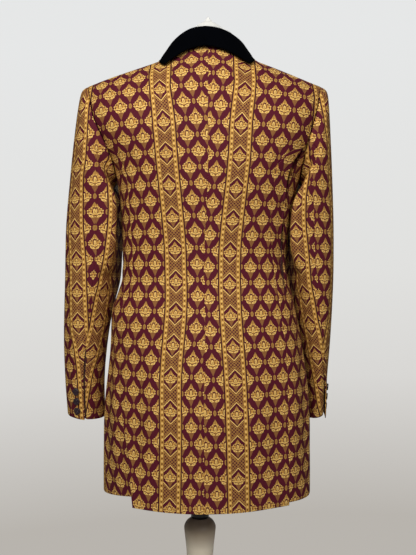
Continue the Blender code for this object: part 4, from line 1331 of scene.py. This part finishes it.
def black_metal():
    material, tree, shader = new_material("glossy_black_metal", Metallic=0.5)
    worn = noise(tree, 60, 3)
    paint_colour(shader, worn, (0.3, (0.008, 0.008, 0.009)), (0.7, (0.018, 0.018, 0.019)))
    plug(0.14 + 0.12 * worn, shader.inputs["Roughness"])
    return material


def pale_floor():
    material, tree, shader = new_material("pale_floor", Roughness=0.7)
    paint_colour(shader, noise(tree, 3, 3), (0.2, (0.6, 0.59, 0.57)), (0.8, (0.66, 0.65, 0.63)))
    return material


def build_garment():
    face = [brocade(), brocade_back()]
    pile = velvet()
    gloss = [polished_button()]
    for side, name in SIDES.items():
        grain = BodyGrain(side)
        for panel in (back_panel, side_panel, front_panel, lapel_panel):
            panel(side, grain, face)
        arm = SleeveGrain(side)
        for part in ("sleeve_top", "sleeve_under"):
            sleeve_panel(part, side, arm, face)
        surface = partial(sleeve, side)
        around = CUFF_BUTTON_AROUND[side]
        for number, along in enumerate(CUFF_BUTTON_ALONGS, 1):
            node = "button_%s_%d" % (name, number)
            normal = normals(surface, around, along) * side
            button = button_piece(node, surface(around, along), normal, CUFF_BUTTON_RADIUS, gloss)
            finish_piece(button, "cuff_" + node)
    levels = np.linspace(0, 1 + float(armhole_rise(FRONT_SEAM_TURN)), SEAM_ROWS + 1)
    surface = partial(body, 1)
    centre = np.ones(2)
    for number, row in enumerate(FRONT_BUTTON_ROWS, 1):
        pair = levels[row:row + 2]
        lift = normals(surface, centre, pair) * lap_lift(1, centre, pair)[:, None]
        low, high = surface(centre, pair) + lift
        normal = np.cross(np.array((-1, 0, 0)), high - low)
        seat = 0.5 * (low + high)
        button = button_piece("button_front_%d" % number, seat, normal, FRONT_BUTTON_RADIUS, gloss)
        finish_piece(button, "front_button_%d" % number)
    finish_piece(collar_piece([pile, pile]), "collar")


def build_stand():
    cover = [form_cover()]
    paint = [white_paint()]
    finish_piece(dress_form(cover), "dress_form")
    cap = lathe("form_cap", CAP_PROFILE, cover, 4, (GARMENT_X, NECK_CENTRE_Y))
    finish_piece(cap, "neck_cap")
    finish_piece(lathe("rod", ROD_PROFILE, paint), "stand_rod")
    finish_piece(lathe("metal_collar", POLE_COLLAR_PROFILE, [black_metal()]), "pole_collar")
    finish_piece(lathe("turned_pole", POLE_PROFILE, paint, 8), "stand_pole")
    finish_piece(lathe("round_base", BASE_PROFILE, paint, 5), "stand_base")


FLOOR_RADIUS = 1.05
FLOOR_Z = -0.0005
FLOOR_SIDES = 128


def add_floor():
    bpy.ops.mesh.primitive_circle_add(vertices=FLOOR_SIDES, radius=FLOOR_RADIUS, fill_type="NGON",
                                      location=(0, 0, FLOOR_Z))
    floor = bpy.context.object
    floor.name = "floor"
    floor.data.materials.append(pale_floor())


CAMERA_PLACE = (0.015, -1.25, 1.013)
SENSOR = 36
FOCAL_PIXELS = 670
PHOTO_HEIGHT = 555


def add_camera():
    data = bpy.data.cameras.new("camera")
    data.sensor_width = SENSOR
    data.lens = SENSOR * FOCAL_PIXELS / PHOTO_HEIGHT
    camera = add_object("camera", data)
    camera.location = CAMERA_PLACE
    camera.rotation_euler = (0.5 * math.pi, 0, 0)
    bpy.context.scene.camera = camera


LIGHTS = (
    # name, place, aim, size, power, colour
    ("key", (-0.36, -1.55, 2.1), (0, 0, 1.2), 1.1, 27.5, (1, 0.97, 0.93)),
    ("fill", (0.95, -2, 1.8), (0, 0, 1.2), 1.6, 12, (0.97, 0.98, 1)),
    ("rear", (0.4, 2.4, 2.4), (0, 0, 1.1), 1.8, 12, (1, 1, 1)),
)


def add_lights():
    for name, place, aim, size, power, colour in LIGHTS:
        data = bpy.data.lights.new(name, "AREA")
        data.shape = "DISK"
        data.size = size
        data.energy = power
        data.color = colour
        lamp = add_object(name, data)
        lamp.location = place
        direction = np.array(aim) - np.array(place)
        away = math.hypot(direction[0], direction[1])
        lamp.rotation_euler = (math.atan2(away, -direction[2]), 0,
                               math.atan2(-direction[0], direction[1]))


# The backdrop's colour darkens towards the bottom and a little to the right: painted shade of the wall
# behind
BACKDROP = (
    # share, colour
    (0.1, (0.48, 0.455, 0.42)), (0.32, (0.69, 0.68, 0.66)), (0.5, (0.75, 0.75, 0.735)),
    (0.88, (0.79, 0.8, 0.8)),
)
BACKDROP_RISE = 1.2
BACKDROP_LEAN = 0.05
AMBIENT = 0.18


def add_world():
    world = bpy.data.worlds.new("studio")
    bpy.context.scene.world = world
    world.use_nodes = True
    tree = world.node_tree
    shader = tree.nodes["Background"]
    x, _, z = parts(coordinates(tree, "Generated"))
    plug(ramp(z * BACKDROP_RISE - x * BACKDROP_LEAN + 0.5, BACKDROP), shader.inputs["Color"])
    seen = Value(tree, tree.nodes.new("ShaderNodeLightPath").outputs["Is Camera Ray"])
    plug(blend(seen, AMBIENT, 1), shader.inputs["Strength"])


build_garment()
build_stand()
add_floor()
add_camera()
add_lights()
add_world()
bpy.context.scene.view_settings.view_transform = "Standard"
